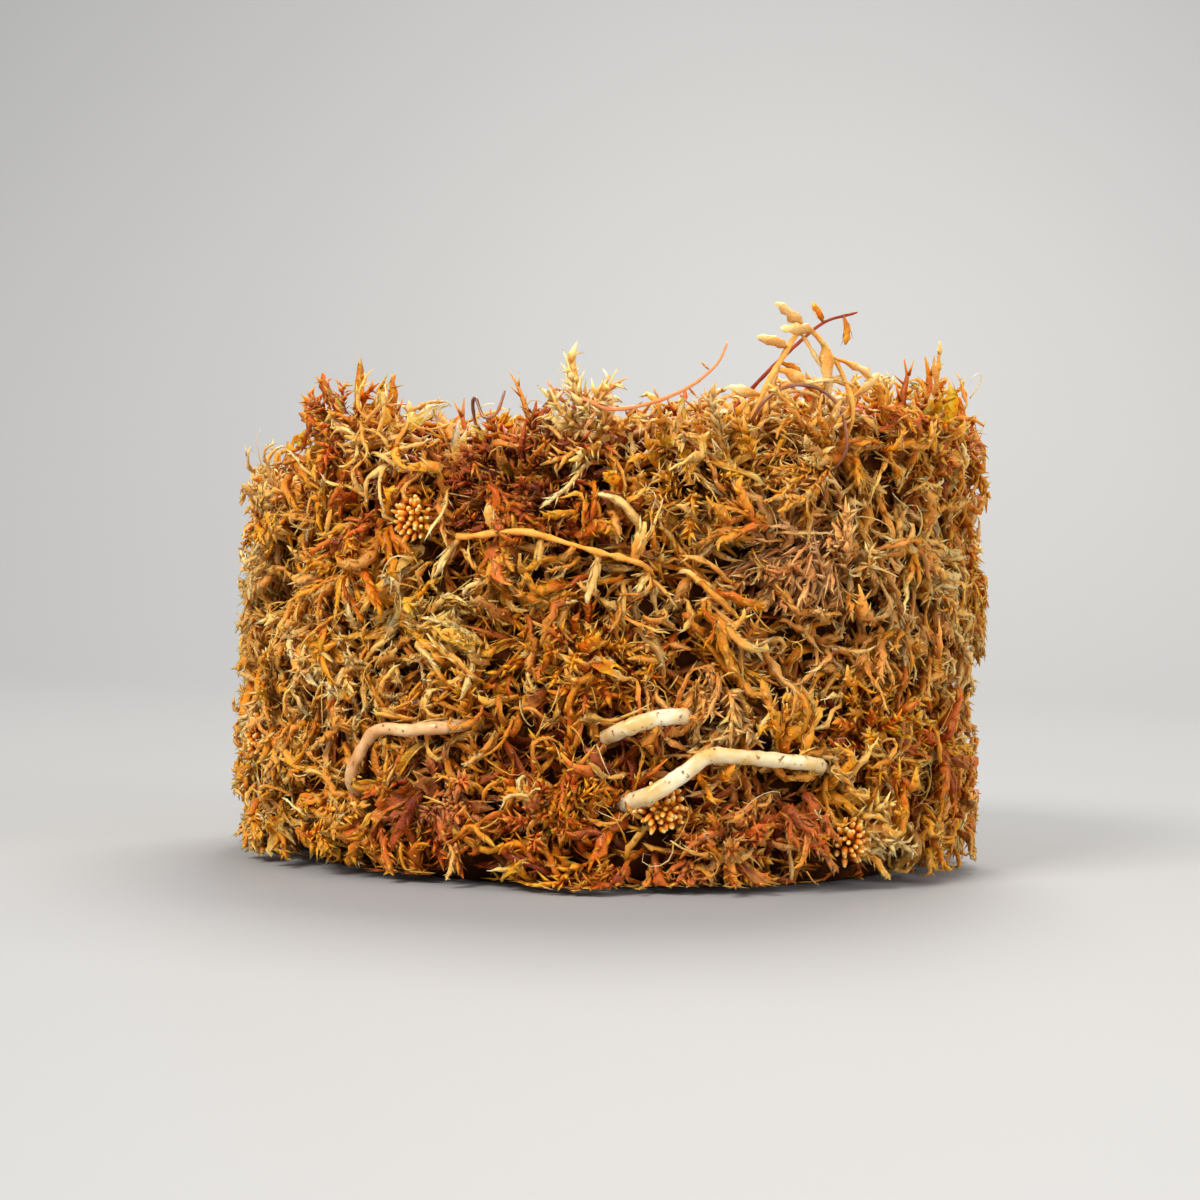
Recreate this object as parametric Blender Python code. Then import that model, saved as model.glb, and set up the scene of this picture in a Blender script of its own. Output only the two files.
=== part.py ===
"""A clump of sphagnum moss that was packed to a round drum and stands on its pressed underside.

Sizes are in metres and +Z is up. The origin is the middle of the flat underside. A place on the clump is
given as an angle round it in degrees (0 faces the front, -Y, and 90 faces +X), a height, and a radius.
"""

import math
import random
from collections import namedtuple

import bmesh
import bpy
from mathutils import Matrix, Vector
from mathutils.geometry import interpolate_bezier

PACKED_RADIUS = 0.0585  # nothing on the side stands further out, for the moss was packed to this round form
PRESS_DEPTH = 0.0040  # how thick the layer is that the packing squeezed
CORE_RADIUS = 0.0502  # the packed body under the branches
TUFT_RADIUS = 0.0520  # where a tuft on the side has its middle
FOOT_RADIUS = 0.0460  # the flat underside
RIM_HEIGHT = 0.0635  # the packed body's top edge, on average
RIM_RISE = 0.0050  # the right side stands this much above the average
TURRET_ANGLE = -46  # a small peak of the rim at the front left
TURRET_RISE = 0.0060
TURRET_SPREAD = 0.17  # in radians round the clump
RIM_WAVE = 0.0016  # the edge rises and falls by this much, three times round
SQUASH_HEIGHT = 0.0022  # what hangs lower than this is squashed on the surface
SQUASH_FLOOR = 0.0005  # and comes no lower than this
GAP = 0.0004  # between two pieces that touch in life

CORE_STEPS = 36
CORE_RINGS = 8
CORE_RELIEF = 0.0016  # how far its leaf tips stand out, and its hollows in
CORE_SHIFT = 0.0014  # how far a tip or a hollow lies off its even place
GOLDEN_ANGLE = math.radians(137.508)

SIDE_BRANCHES = 132
TOP_BRANCHES = 30
BRANCH_LENGTH = 0.0150
BRANCH_WIDTH = 0.0048
BRANCH_ROOT = 0.0022  # how deep a branch is rooted in what carries it
TUFT_BRANCH_WIDTH = 0.0036
TUFT_DEPTH = 0.0090  # of the body that a tuft's branches stand out of
TOP_TUFT_DEPTH = 0.0080
BUD_HEAD_RADIUS = 0.0529  # where a head of buds has its middle
BUD_LENGTH = 0.0042
BUD_WIDTH = 0.0024
ROUGHNESS = 0.55
SEED = 41

Colour = namedtuple("Colour", "red green blue")
STRAW = Colour(0.60, 0.36, 0.13)
PALE_STRAW = Colour(0.72, 0.52, 0.27)
GOLD = Colour(0.74, 0.36, 0.05)
ORANGE = Colour(0.62, 0.20, 0.03)
RUST = Colour(0.40, 0.10, 0.02)
DARK_RED = Colour(0.24, 0.04, 0.01)
PINK = Colour(0.60, 0.27, 0.16)
BUD = Colour(0.80, 0.42, 0.16)
ROOT_WHITE = Colour(0.80, 0.72, 0.55)
ROOT_TAN = Colour(0.62, 0.33, 0.14)
TWIG_BROWN = Colour(0.16, 0.05, 0.03)
THREAD_RED = Colour(0.50, 0.09, 0.02)

# A leafy tuft: its place, its width across and up, how many branches it has, and its colour.
Tuft = namedtuple("Tuft", "name angle height wide tall branches colour")
TUFTS = (
    Tuft("dark_red_head", -13, 0.0530, 0.022, 0.015, 9, DARK_RED),
    Tuft("golden_tuft", 13, 0.0560, 0.017, 0.014, 8, GOLD),
    Tuft("orange_tuft_middle", -5, 0.0325, 0.018, 0.011, 8, ORANGE),
    Tuft("pink_tuft", 27, 0.0455, 0.017, 0.011, 7, PINK),
    Tuft("rust_tuft_front", -9, 0.0095, 0.014, 0.012, 7, RUST),
    Tuft("rust_tuft_low", 17, 0.0060, 0.014, 0.009, 6, RUST),
    Tuft("red_tuft_left", -25, 0.0115, 0.014, 0.010, 6, THREAD_RED),
    Tuft("straw_tuft_left", -42, 0.0300, 0.017, 0.013, 8, PALE_STRAW),
    Tuft("brown_tuft_left", -48, 0.0610, 0.013, 0.012, 7, RUST),
    Tuft("rust_tuft_right", 46, 0.0220, 0.015, 0.013, 7, ORANGE),
    Tuft("amber_tuft_right", 60, 0.0640, 0.015, 0.012, 7, ORANGE),
    Tuft("golden_tuft_side", 86, 0.0360, 0.017, 0.014, 8, GOLD),
    Tuft("straw_tuft_back", 132, 0.0480, 0.017, 0.014, 8, PALE_STRAW),
    Tuft("orange_tuft_back", 168, 0.0250, 0.018, 0.013, 8, ORANGE),
    Tuft("dark_red_head_back", -148, 0.0500, 0.019, 0.014, 9, DARK_RED),
    Tuft("golden_tuft_back", -108, 0.0280, 0.017, 0.013, 8, GOLD),
)

# A head of tight young buds: its place, its width and how many buds it has.
BudHead = namedtuple("BudHead", "name angle height wide buds")
BUD_HEADS = (
    BudHead("bud_head_left", -29.5, 0.0490, 0.0085, 9),
    BudHead("bud_head_front", 7.0, 0.0122, 0.0090, 10),
    BudHead("bud_head_right", 37.0, 0.0070, 0.0080, 8),
    BudHead("bud_head_side", -70, 0.0180, 0.0085, 9),
)

# Tufts on the top: their place across the clump, their width and what grows there.
TopTuft = namedtuple("TopTuft", "name x y wide branches colour")
TOP_TUFTS = (
    TopTuft("top_tuft_orange", 0.020, 0.012, 0.022, 8, ORANGE),
    TopTuft("top_tuft_gold", -0.020, 0.012, 0.021, 8, GOLD),
)

# What is thin and round: its route as (angle, height, radius) points, its thickness at both ends, and its sides.
Strand = namedtuple("Strand", "name route thick_start thick_end sides colour")
STRANDS = (
    Strand(
        "root_long",
        (
            (1.0, 0.0112, 0.0490),
            (5.5, 0.0135, 0.0572),
            (9.8, 0.0163, 0.0575),
            (13.5, 0.0188, 0.0573),
            (18.0, 0.0187, 0.0572),
            (24.5, 0.0182, 0.0572),
            (30.0, 0.0176, 0.0568),
            (35.0, 0.0160, 0.0490),
        ),
        0.0024,
        0.0019,
        6,
        ROOT_WHITE,
    ),
    Strand(
        "root_short",
        (
            (-1.5, 0.0200, 0.0490),
            (2.0, 0.0222, 0.0570),
            (6.0, 0.0236, 0.0574),
            (9.5, 0.0240, 0.0568),
            (13.0, 0.0238, 0.0490),
        ),
        0.0022,
        0.0022,
        6,
        ROOT_WHITE,
    ),
    Strand(
        "root_left",
        (
            (-41.0, 0.0080, 0.0490),
            (-38.0, 0.0135, 0.0570),
            (-35.0, 0.0190, 0.0573),
            (-32.5, 0.0208, 0.0573),
            (-28.0, 0.0210, 0.0572),
            (-23.0, 0.0215, 0.0566),
            (-19.5, 0.0220, 0.0490),
        ),
        0.0019,
        0.0021,
        6,
        ROOT_TAN,
    ),
    Strand(
        "salmon_thread",
        (
            (-6.0, 0.0600, 0.0500),
            (-5.5, 0.0655, 0.0560),
            (-1.0, 0.0642, 0.0575),
            (4.0, 0.0650, 0.0575),
            (9.5, 0.0675, 0.0572),
            (13.5, 0.0708, 0.0560),
            (15.5, 0.0740, 0.0545),
        ),
        0.0013,
        0.0008,
        5,
        THREAD_RED,
    ),
    Strand(
        "brown_twig_arch",
        (
            (20.0, 0.0600, 0.0495),
            (20.5, 0.0655, 0.0545),
            (23.5, 0.0682, 0.0560),
            (27.5, 0.0686, 0.0565),
            (31.0, 0.0670, 0.0568),
            (33.0, 0.0635, 0.0570),
            (32.8, 0.0590, 0.0566),
            (30.5, 0.0535, 0.0490),
        ),
        0.0010,
        0.0009,
        5,
        TWIG_BROWN,
    ),
    Strand(
        "brown_twig_bent",
        (
            (-21.0, 0.0575, 0.0500),
            (-20.5, 0.0640, 0.0550),
            (-19.5, 0.0655, 0.0565),
            (-18.0, 0.0630, 0.0572),
            (-16.2, 0.0635, 0.0572),
            (-15.2, 0.0665, 0.0568),
        ),
        0.0010,
        0.0010,
        5,
        TWIG_BROWN,
    ),
)

# A stem with leaves on it: its route, its thickness, and each leaf as (share along the stem, angle in degrees round
# the stem, length, width).
Shoot = namedtuple("Shoot", "name route thick leaves colour")
SHOOTS = (
    Shoot(
        "straw_stem",
        (
            (-24.0, 0.0475, 0.0490),
            (-21.0, 0.0470, 0.0565),
            (-12.0, 0.0478, 0.0575),
            (-4.0, 0.0458, 0.0576),
            (3.5, 0.0440, 0.0570),
            (7.0, 0.0420, 0.0490),
        ),
        0.0011,
        (
            (0.12, 100, 0.0065, 0.0022),
            (0.34, 250, 0.0042, 0.0022),
            (0.48, 80, 0.0048, 0.0020),
            (0.66, 95, 0.0070, 0.0023),
            (0.78, 265, 0.0055, 0.0022),
            (0.90, 110, 0.0050, 0.0020),
        ),
        STRAW,
    ),
    Shoot(
        "straw_shoot_loop",
        (
            (19.5, 0.0560, 0.0480),
            (20.5, 0.0640, 0.0520),
            (23.5, 0.0710, 0.0535),
            (27.5, 0.0765, 0.0540),
            (31.5, 0.0745, 0.0540),
            (34.5, 0.0705, 0.0545),
            (36.5, 0.0650, 0.0545),
            (37.0, 0.0560, 0.0485),
        ),
        0.0012,
        (
            (0.30, 60, 0.0090, 0.0024),
            (0.34, 190, 0.0080, 0.0024),
            (0.44, 330, 0.0095, 0.0026),
            (0.52, 150, 0.0085, 0.0025),
            (0.58, 20, 0.0100, 0.0027),
            (0.66, 250, 0.0095, 0.0026),
            (0.74, 120, 0.0090, 0.0026),
        ),
        PALE_STRAW,
    ),
    Shoot(
        "red_twig",
        (
            (16.5, 0.0580, 0.0440),
            (18.5, 0.0640, 0.0470),
            (23.0, 0.0690, 0.0480),
            (29.0, 0.0740, 0.0485),
            (35.5, 0.0785, 0.0490),
            (42.5, 0.0805, 0.0495),
        ),
        0.0009,
        (
            (0.55, 40, 0.0035, 0.0014),
            (0.80, 250, 0.0034, 0.0015),
            (0.93, 70, 0.0042, 0.0016),
        ),
        TWIG_BROWN,
    ),
)


def material(name, colour, roughness):
    """A plain surface of one colour."""
    made = bpy.data.materials.get(name)
    if made is None:
        made = bpy.data.materials.new(name)
        made.use_nodes = True
        shader = made.node_tree.nodes["Principled BSDF"]
        shader.inputs["Base Color"].default_value = (*colour, 1.0)
        shader.inputs["Roughness"].default_value = roughness
        shader.inputs["Metallic"].default_value = 0.0
    return made


def place(angle, height, radius):
    """The point at an angle in degrees round the clump, a height and a radius."""
    turn = math.radians(angle)
    return Vector((radius * math.sin(turn), -radius * math.cos(turn), height))


def outward(point):
    """The level direction that points away from the clump's axis."""
    flat = Vector((point.x, point.y, 0.0))
    return flat.normalized() if flat.length > 1e-6 else Vector((0.0, -1.0, 0.0))


def rim_height(turn):
    """The height of the packed body's top edge at an angle in radians round it."""
    off = math.remainder(turn - math.radians(TURRET_ANGLE), math.tau)
    peak = TURRET_RISE * math.exp(-((off / TURRET_SPREAD) ** 2))
    return RIM_HEIGHT + RIM_RISE * math.sin(turn) + RIM_WAVE * math.cos(3.0 * turn + 0.6) + peak


def pressed(point):
    """The point after the packing has squeezed the side and the surface has squashed the foot.

    Both moves keep the order of points, so a shape never folds through itself.
    """
    radius = math.hypot(point.x, point.y)
    free = PACKED_RADIUS - PRESS_DEPTH
    if radius > free:
        kept = PRESS_DEPTH * math.tanh((radius - free) / PRESS_DEPTH)
        point = Vector((point.x, point.y, 0.0)) * ((free + kept) / radius) + Vector((0.0, 0.0, point.z))
    if point.z < SQUASH_HEIGHT:
        depth = SQUASH_HEIGHT - SQUASH_FLOOR
        point.z = SQUASH_FLOOR + depth * math.exp((point.z - SQUASH_HEIGHT) / depth)
    return point


def smooth_route(points, steps):
    """Points along one smooth curve through the given ones, with the given steps in each stretch."""
    ends = [2 * points[0] - points[1], *points, 2 * points[-1] - points[-2]]
    route = []
    for i in range(1, len(points)):
        before, start, end, after = ends[i - 1 : i + 3]
        handles = start + (end - before) / 6, end - (after - start) / 6
        route += interpolate_bezier(start, *handles, end, steps + 1)[:-1]
    return [*route, points[-1]]


def ring(bm, centre, along, side, radius, sides, turn=0.0):
    """One ring of vertices round a point, square to the way along."""
    along = along.normalized()
    first = (side - along * side.dot(along)).normalized()
    second = along.cross(first)
    verts = []
    for k in range(sides):
        a = turn + math.tau * k / sides
        verts.append(bm.verts.new(centre + (first * math.cos(a) + second * math.sin(a)) * radius))
    return verts


def skin(bm, rings, tip):
    """Faces over a row of rings, with a flat start and a pointed end."""
    bm.faces.new(reversed(rings[0]))
    for low, high in zip(rings, rings[1:]):
        for k in range(len(low)):
            n = (k + 1) % len(low)
            bm.faces.new((low[k], low[n], high[n], high[k]))
    point = bm.verts.new(tip)
    for k in range(len(rings[-1])):
        bm.faces.new((rings[-1][k], rings[-1][(k + 1) % len(rings[-1])], point))


def helper(name, bm):
    """A closed mesh that a union or a cut uses up, pressed as the clump is."""
    for vert in bm.verts:
        vert.co = pressed(vert.co.copy())
    return flat_helper(name, bm)


def flat_helper(name, bm):
    """A closed mesh that a union or a cut uses up, as it is."""
    bmesh.ops.triangulate(bm, faces=bm.faces)
    bmesh.ops.recalc_face_normals(bm, faces=bm.faces)
    mesh = bpy.data.meshes.new(name)
    bm.to_mesh(mesh)
    bm.free()
    made = bpy.data.objects.new(name, mesh)
    bpy.context.scene.collection.objects.link(made)
    return made


def leafy_branch(root, tip, bow, width, whorls, grow):
    """A branch of short leaves that lie over each other, in whorls of three that each stand out over the next.

    It runs from root to tip, and bow is how far its middle stands off the straight line. grow makes it wider.
    """
    bm = bmesh.new()
    side = (tip - root).cross(bow if bow.cross(tip - root).length > 1e-9 else Vector((0.0, 0.0, 1.0)))

    def at(share):
        return root.lerp(tip, share) + bow * (4.0 * share * (1.0 - share))

    def along(share):
        return (tip - root) + bow * (4.0 - 8.0 * share)

    rings = [ring(bm, at(0.0), along(0.0), side, width * 0.25 + grow, 3)]
    for k in range(whorls):
        turn = k * math.radians(60)
        foot, top = (k + 0.45) / (whorls + 0.6), (k + 1.15) / (whorls + 0.6)
        taper = 1.0 - 0.5 * k / whorls
        rings.append(ring(bm, at(foot), along(foot), side, width * 0.36 * taper + grow, 3, turn))
        rings.append(ring(bm, at(top), along(top), side, width * 0.6 * taper + grow, 3, turn))
    skin(bm, rings, at(1.0) + along(1.0).normalized() * grow)
    return helper("branch", bm)


def lens(centre, facing, wide, tall, deep, grow):
    """A rounded body that a tuft's branches stand out of."""
    bm = bmesh.new()
    bmesh.ops.create_icosphere(bm, subdivisions=1, radius=1.0)
    across = Vector((0.0, 0.0, 1.0)).cross(facing)
    across = across.normalized() if across.length > 1e-6 else Vector((1.0, 0.0, 0.0))
    upward = facing.cross(across)
    turn = Matrix((across, facing, upward)).transposed().to_4x4()
    size = Matrix.Diagonal((wide / 2 + grow, deep / 2 + grow, tall / 2 + grow, 1.0))
    bmesh.ops.transform(bm, matrix=Matrix.Translation(centre) @ turn @ size, verts=bm.verts)
    return helper("lens", bm)


def spindle(root, way, length, width, grow):
    """One bud or small leaf: slim at its root, widest past its middle, and pointed."""
    bm = bmesh.new()
    side = way.cross(Vector((0.3, 0.2, 1.0)))
    rings = [
        ring(bm, root, way, side, width * 0.18 + grow, 3),
        ring(bm, root + way * length * 0.55, way, side, width * 0.58 + grow, 3),
    ]
    skin(bm, rings, root + way * (length + grow))
    return helper("spindle", bm)


def tube(route, thick_start, thick_end, sides, grow):
    """A round strand along a route, with a pointed far end."""
    bm = bmesh.new()
    rings = []
    side = Vector((0.0, 0.0, 1.0))
    for i, point in enumerate(route[:-1]):
        along = route[i + 1] - (route[i - 1] if i else point)
        if abs(along.normalized().dot(side)) > 0.9:
            side = outward(point)
        share = i / (len(route) - 1)
        radius = (thick_start + (thick_end - thick_start) * share) / 2 + grow
        rings.append(ring(bm, point, along, side, radius, sides))
        side = rings[-1][0].co - point
    skin(bm, rings, route[-1])
    return helper("tube", bm)


def only_body(mesh):
    """Keeps the largest closed shell. Loose scraps and the skins of sealed hollows go."""
    bm = bmesh.new()
    bm.from_mesh(mesh)
    bmesh.ops.triangulate(bm, faces=bm.faces)
    todo = set(bm.verts)
    shells = []
    while todo:
        shell = {todo.pop()}
        newest = list(shell)
        while newest:
            found = {e.other_vert(v) for v in newest for e in v.link_edges} - shell
            shell |= found
            newest = list(found)
        todo -= shell
        shells.append(shell)
    largest = max(shells, key=len)
    loose = [v for shell in shells if shell is not largest for v in shell]
    bmesh.ops.delete(bm, geom=loose, context="VERTS")
    bm.to_mesh(mesh)
    bm.free()


def boolean(base, others, operation):
    """Joins the other objects to the base, or cuts them out of it, and uses them up."""
    group = bpy.data.collections.new("tools")
    bpy.context.scene.collection.children.link(group)
    for other in others:
        bpy.context.scene.collection.objects.unlink(other)
        group.objects.link(other)
    modifier = base.modifiers.new("boolean", "BOOLEAN")
    modifier.operation = operation
    modifier.operand_type = "COLLECTION"
    modifier.collection = group
    modifier.solver = "MANIFOLD"
    graph = bpy.context.evaluated_depsgraph_get()
    made = bpy.data.meshes.new_from_object(base.evaluated_get(graph))
    base.modifiers.clear()
    base.data = made
    for other in others:
        bpy.data.objects.remove(other)
    bpy.data.collections.remove(group)


def meet(first, second):
    """True if the two objects' upright bounding boxes overlap."""
    boxes = [[vert.co for vert in thing.data.vertices] for thing in (first, second)]
    low = [[min(co[i] for co in box) for i in range(3)] for box in boxes]
    high = [[max(co[i] for co in box) for i in range(3)] for box in boxes]
    return all(low[0][i] <= high[1][i] and low[1][i] <= high[0][i] for i in range(3))


def pocket(parts):
    """One convex solid that holds all the parts with room to spare, and uses them up."""
    bm = bmesh.new()
    for part in parts:
        bm.from_mesh(part.data)
        bpy.data.objects.remove(part)
    hull = bmesh.ops.convex_hull(bm, input=bm.verts)
    bmesh.ops.delete(bm, geom=hull["geom_interior"] + hull["geom_unused"], context="VERTS")
    inner = [face for face in bm.faces if face not in set(hull["geom"])]
    bmesh.ops.delete(bm, geom=inner, context="FACES")
    middle = sum((vert.co for vert in bm.verts), Vector()) / len(bm.verts)
    for vert in bm.verts:
        vert.co += (vert.co - middle).normalized() * (2.0 * GAP)
    return flat_helper("pocket", bm)


def node(name, parts, colour, cuts):
    """One piece of the clump: its parts in one body, with its neighbours' room cut out."""
    body, *rest = parts
    if rest:
        boolean(body, rest, "UNION")
    cuts_that_meet = [cut for cut in cuts if meet(body, cut)]
    for cut in set(cuts) - set(cuts_that_meet):
        bpy.data.objects.remove(cut)
    if cuts_that_meet:
        boolean(body, cuts_that_meet, "DIFFERENCE")
    only_body(body.data)
    body.name = name
    body.data.name = name
    body.data.materials.clear()
    body.data.materials.append(material(name, colour, ROUGHNESS))
    body.data.shade_flat()
    return body


def strand_parts(strand, grow=0.0):
    """The solids of a root, a twig or a thread."""
    route = smooth_route([place(*p) for p in strand.route], 2)
    return [tube(route, strand.thick_start, strand.thick_end, strand.sides, grow)]


def shoot_parts(shoot, grow=0.0):
    """The solids of a stem and of the leaves on it."""
    route = smooth_route([place(*p) for p in shoot.route], 2)
    parts = [tube(route, shoot.thick, shoot.thick * 0.7, 5, grow)]
    for share, turn, length, width in shoot.leaves:
        i = min(int(share * (len(route) - 1)), len(route) - 2)
        along = (route[i + 1] - route[i]).normalized()
        face = outward(route[i])
        across = along.cross(face).normalized()
        off = across * math.sin(math.radians(turn)) + face * 0.25 + along * 0.5 * math.cos(math.radians(turn))
        parts.append(spindle(route[i] - off.normalized() * 0.0002, off.normalized(), length, width, grow))
    return parts


def tuft_parts(tuft, grow=0.0):
    """The solids of a tuft on the clump's side: a small body and the branches that spread out of it all round."""
    centre = place(tuft.angle, tuft.height, TUFT_RADIUS)
    facing = outward(centre)
    across = Vector((0.0, 0.0, 1.0)).cross(facing) * (tuft.wide / 2)
    upward = Vector((0.0, 0.0, tuft.tall / 2))
    parts = [lens(centre, facing, tuft.wide * 0.55, tuft.tall * 0.55, TUFT_DEPTH, grow)]
    for k in range(tuft.branches):
        spread = math.sqrt((k + 0.5) / tuft.branches)
        turn = k * GOLDEN_ANGLE + math.radians(tuft.angle)
        edge = across * math.cos(turn) + upward * math.sin(turn)
        root = centre + edge * (0.48 * spread)
        tip = centre + edge * (0.15 + spread) + facing * (0.0085 - 0.0045 * spread)
        bow = facing * (0.0025 * spread)
        parts.append(leafy_branch(root, tip, bow, TUFT_BRANCH_WIDTH, 1 + k % 2, grow))
    return parts


def top_tuft_parts(tuft, grow=0.0):
    """The solids of a tuft on the clump's top."""
    centre = Vector((tuft.x, tuft.y, rim_height(math.atan2(tuft.x, -tuft.y)) - 0.0012))
    upward = Vector((0.0, 0.0, 1.0))
    parts = [lens(centre, upward, tuft.wide * 0.55, tuft.wide * 0.55, TOP_TUFT_DEPTH, grow)]
    for k in range(tuft.branches):
        spread = math.sqrt((k + 0.5) / tuft.branches)
        turn = k * GOLDEN_ANGLE
        edge = Vector((math.cos(turn), math.sin(turn), 0.0)) * (tuft.wide / 2)
        root = centre + edge * (0.25 * spread)
        tip = centre + edge * (0.15 + spread) + upward * (0.0095 - 0.0060 * spread)
        bow = upward * (0.0025 * spread)
        parts.append(leafy_branch(root, tip, bow, TUFT_BRANCH_WIDTH, 1 + k % 2, grow))
    return parts


def bud_head_parts(head, grow=0.0):
    """The solids of a head of buds: a small round body closely set with buds."""
    centre = place(head.angle, head.height, BUD_HEAD_RADIUS)
    facing = outward(centre)
    across = Vector((0.0, 0.0, 1.0)).cross(facing)
    upward = Vector((0.0, 0.0, 1.0))
    parts = [lens(centre, facing, head.wide * 0.72, head.wide * 0.72, head.wide * 0.85, grow)]
    for k in range(head.buds):
        spread = math.sqrt((k + 0.5) / head.buds)
        turn = k * GOLDEN_ANGLE
        flat = (across * math.cos(turn) + upward * math.sin(turn)) * spread
        way = (facing * 1.15 + flat * 0.9).normalized()
        root = centre + flat * (head.wide * 0.27) + facing * 0.0006
        parts.append(spindle(root, way, BUD_LENGTH, BUD_WIDTH, grow))
    return parts


def packed_core(draw):
    """The packed body of the clump: a drum with a flat foot, its side and top crumpled into leaf tips and hollows."""
    profile = [(FOOT_RADIUS, 0.0), (CORE_RADIUS - 0.0018, 0.045)]
    profile += [(CORE_RADIUS, 0.045 + 0.875 * (k + 1) / CORE_RINGS) for k in range(CORE_RINGS)]
    profile += [(CORE_RADIUS - 0.0025, 0.965), (CORE_RADIUS - 0.0080, 0.985)]
    profile += [(CORE_RADIUS - inset, 0.975) for inset in (0.0150, 0.0230, 0.0320, 0.0420)]
    bm = bmesh.new()
    rows = []
    for k, (radius, share) in enumerate(profile):
        row = []
        for n in range(CORE_STEPS):
            turn = math.tau * (n + 0.5 * (k % 2)) / CORE_STEPS
            height = share * (rim_height(turn) - 0.0030)
            row.append(bm.verts.new(place(math.degrees(turn), height, radius)))
        rows.append(row)
    bm.faces.new(reversed(rows[0]))
    for k in range(len(rows) - 1):
        low, high = rows[k : k + 2]
        for n in range(CORE_STEPS):
            after = (n + 1) % CORE_STEPS
            if k % 2:
                bm.faces.new((low[n], low[after], high[after]))
                bm.faces.new((low[n], high[after], high[n]))
            else:
                bm.faces.new((low[n], low[after], high[n]))
                bm.faces.new((low[after], high[after], high[n]))
    bm.faces.new(rows[-1])
    for k, row in enumerate(rows[1:], start=1):
        for vert in row:
            crumple(vert, draw, k <= CORE_RINGS + 1)
    return flat_helper("core", bm)


def crumple(vert, draw, is_side):
    """Moves a vertex of the core out as a leaf tip or in as a hollow, and a little along the surface."""
    facing = outward(vert.co) if is_side else Vector((0.0, 0.0, 1.0))
    across = Vector((0.0, 0.0, 1.0)).cross(outward(vert.co))
    radius = math.hypot(vert.co.x, vert.co.y)
    share = min(1.0, radius / CORE_RADIUS)
    vert.co += facing * (CORE_RELIEF * draw.uniform(-1.0, 1.0))
    vert.co += across * (CORE_SHIFT * share * draw.uniform(-1.0, 1.0))
    vert.co += facing.cross(across) * (CORE_SHIFT * 0.8 * draw.uniform(-1.0, 1.0))


def in_reserved_room(point):
    """True where a tuft, a head, a root or a shoot already lies, so that no branch of the mass starts there."""
    for tuft in TUFTS:
        off = point - place(tuft.angle, tuft.height, CORE_RADIUS)
        if math.hypot(math.hypot(off.x, off.y) / tuft.wide, off.z / tuft.tall) < 0.5:
            return True
    for head in BUD_HEADS:
        if (point - place(head.angle, head.height, CORE_RADIUS)).length < head.wide * 0.7:
            return True
    for tuft in TOP_TUFTS:
        if math.hypot(point.x - tuft.x, point.y - tuft.y) < tuft.wide * 0.5 and point.z > 0.045:
            return True
    return False


def side_branches(draw):
    """The branches that lie over the clump's side, spread evenly by the golden angle."""
    parts = []
    for k in range(SIDE_BRANCHES):
        turn = k * GOLDEN_ANGLE + draw.uniform(-0.05, 0.05)
        height = 0.0045 + (k + 0.5) / SIDE_BRANCHES * (rim_height(turn) - 0.0070)
        root = place(math.degrees(turn), height, CORE_RADIUS - BRANCH_ROOT)
        facing = outward(root)
        lie = draw.uniform(0.0, math.tau)
        flat = Vector((0.0, 0.0, 1.0)).cross(facing) * math.cos(lie) + Vector((0.0, 0.0, 1.0)) * math.sin(lie)
        reach = root + flat * (BRANCH_LENGTH * draw.uniform(0.85, 1.15))
        tip = outward(reach) * (CORE_RADIUS + draw.uniform(0.0040, 0.0085)) + Vector((0.0, 0.0, reach.z))
        bow = facing * 0.0058 + flat.cross(facing) * draw.uniform(-0.0025, 0.0025)
        middle = root.lerp(tip, 0.5)
        if in_reserved_room(root) or in_reserved_room(middle) or tip.z < 0.0030:
            continue
        parts.append(leafy_branch(root, tip, bow, BRANCH_WIDTH, 1 + k % 2, 0.0))
    return parts


def top_branches(draw):
    """The branches on the clump's top and its top edge, in a sunflower pattern."""
    parts = []
    for k in range(TOP_BRANCHES):
        radius = (CORE_RADIUS - 0.004) * math.sqrt((k + 0.5) / TOP_BRANCHES)
        turn = k * GOLDEN_ANGLE
        root = place(math.degrees(turn), rim_height(turn) - 0.0040 - BRANCH_ROOT, radius)
        lie = draw.uniform(0.0, math.tau)
        flat = Vector((math.cos(lie), math.sin(lie), 0.0))
        tip = root + flat * (BRANCH_LENGTH * draw.uniform(0.7, 0.95)) + Vector((0.0, 0.0, 0.0065))
        bow = Vector((0.0, 0.0, 0.0040)) + flat.cross(Vector((0.0, 0.0, 1.0))) * draw.uniform(-0.0025, 0.0025)
        if in_reserved_room(root) or in_reserved_room(root.lerp(tip, 0.5)):
            continue
        parts.append(leafy_branch(root, tip, bow, BRANCH_WIDTH, 1 + k % 2, 0.0))
    return parts


def build():
    """Makes every piece. Each one leaves room for those made before it."""
    for old in list(bpy.data.objects):
        bpy.data.objects.remove(old)
    draw = random.Random(SEED)
    thin = [(strand_parts, s) for s in STRANDS]
    thin += [(shoot_parts, s) for s in SHOOTS]
    bunches = [(bud_head_parts, h) for h in BUD_HEADS]
    bunches += [(tuft_parts, t) for t in TUFTS]
    bunches += [(top_tuft_parts, t) for t in TOP_TUFTS]
    placed = []
    for make, piece in thin + bunches:
        cuts = [part for other_make, other in placed for part in other_make(other, GAP)]
        colour = BUD if make is bud_head_parts else piece.colour
        node(piece.name, make(piece), colour, cuts)
        placed.append((make, piece))
    cuts = [part for make, piece in thin for part in make(piece, GAP)]
    cuts += [pocket(make(piece)) for make, piece in bunches]
    node("moss_mass", [packed_core(draw), *side_branches(draw), *top_branches(draw)], STRAW, cuts)


build()
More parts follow.
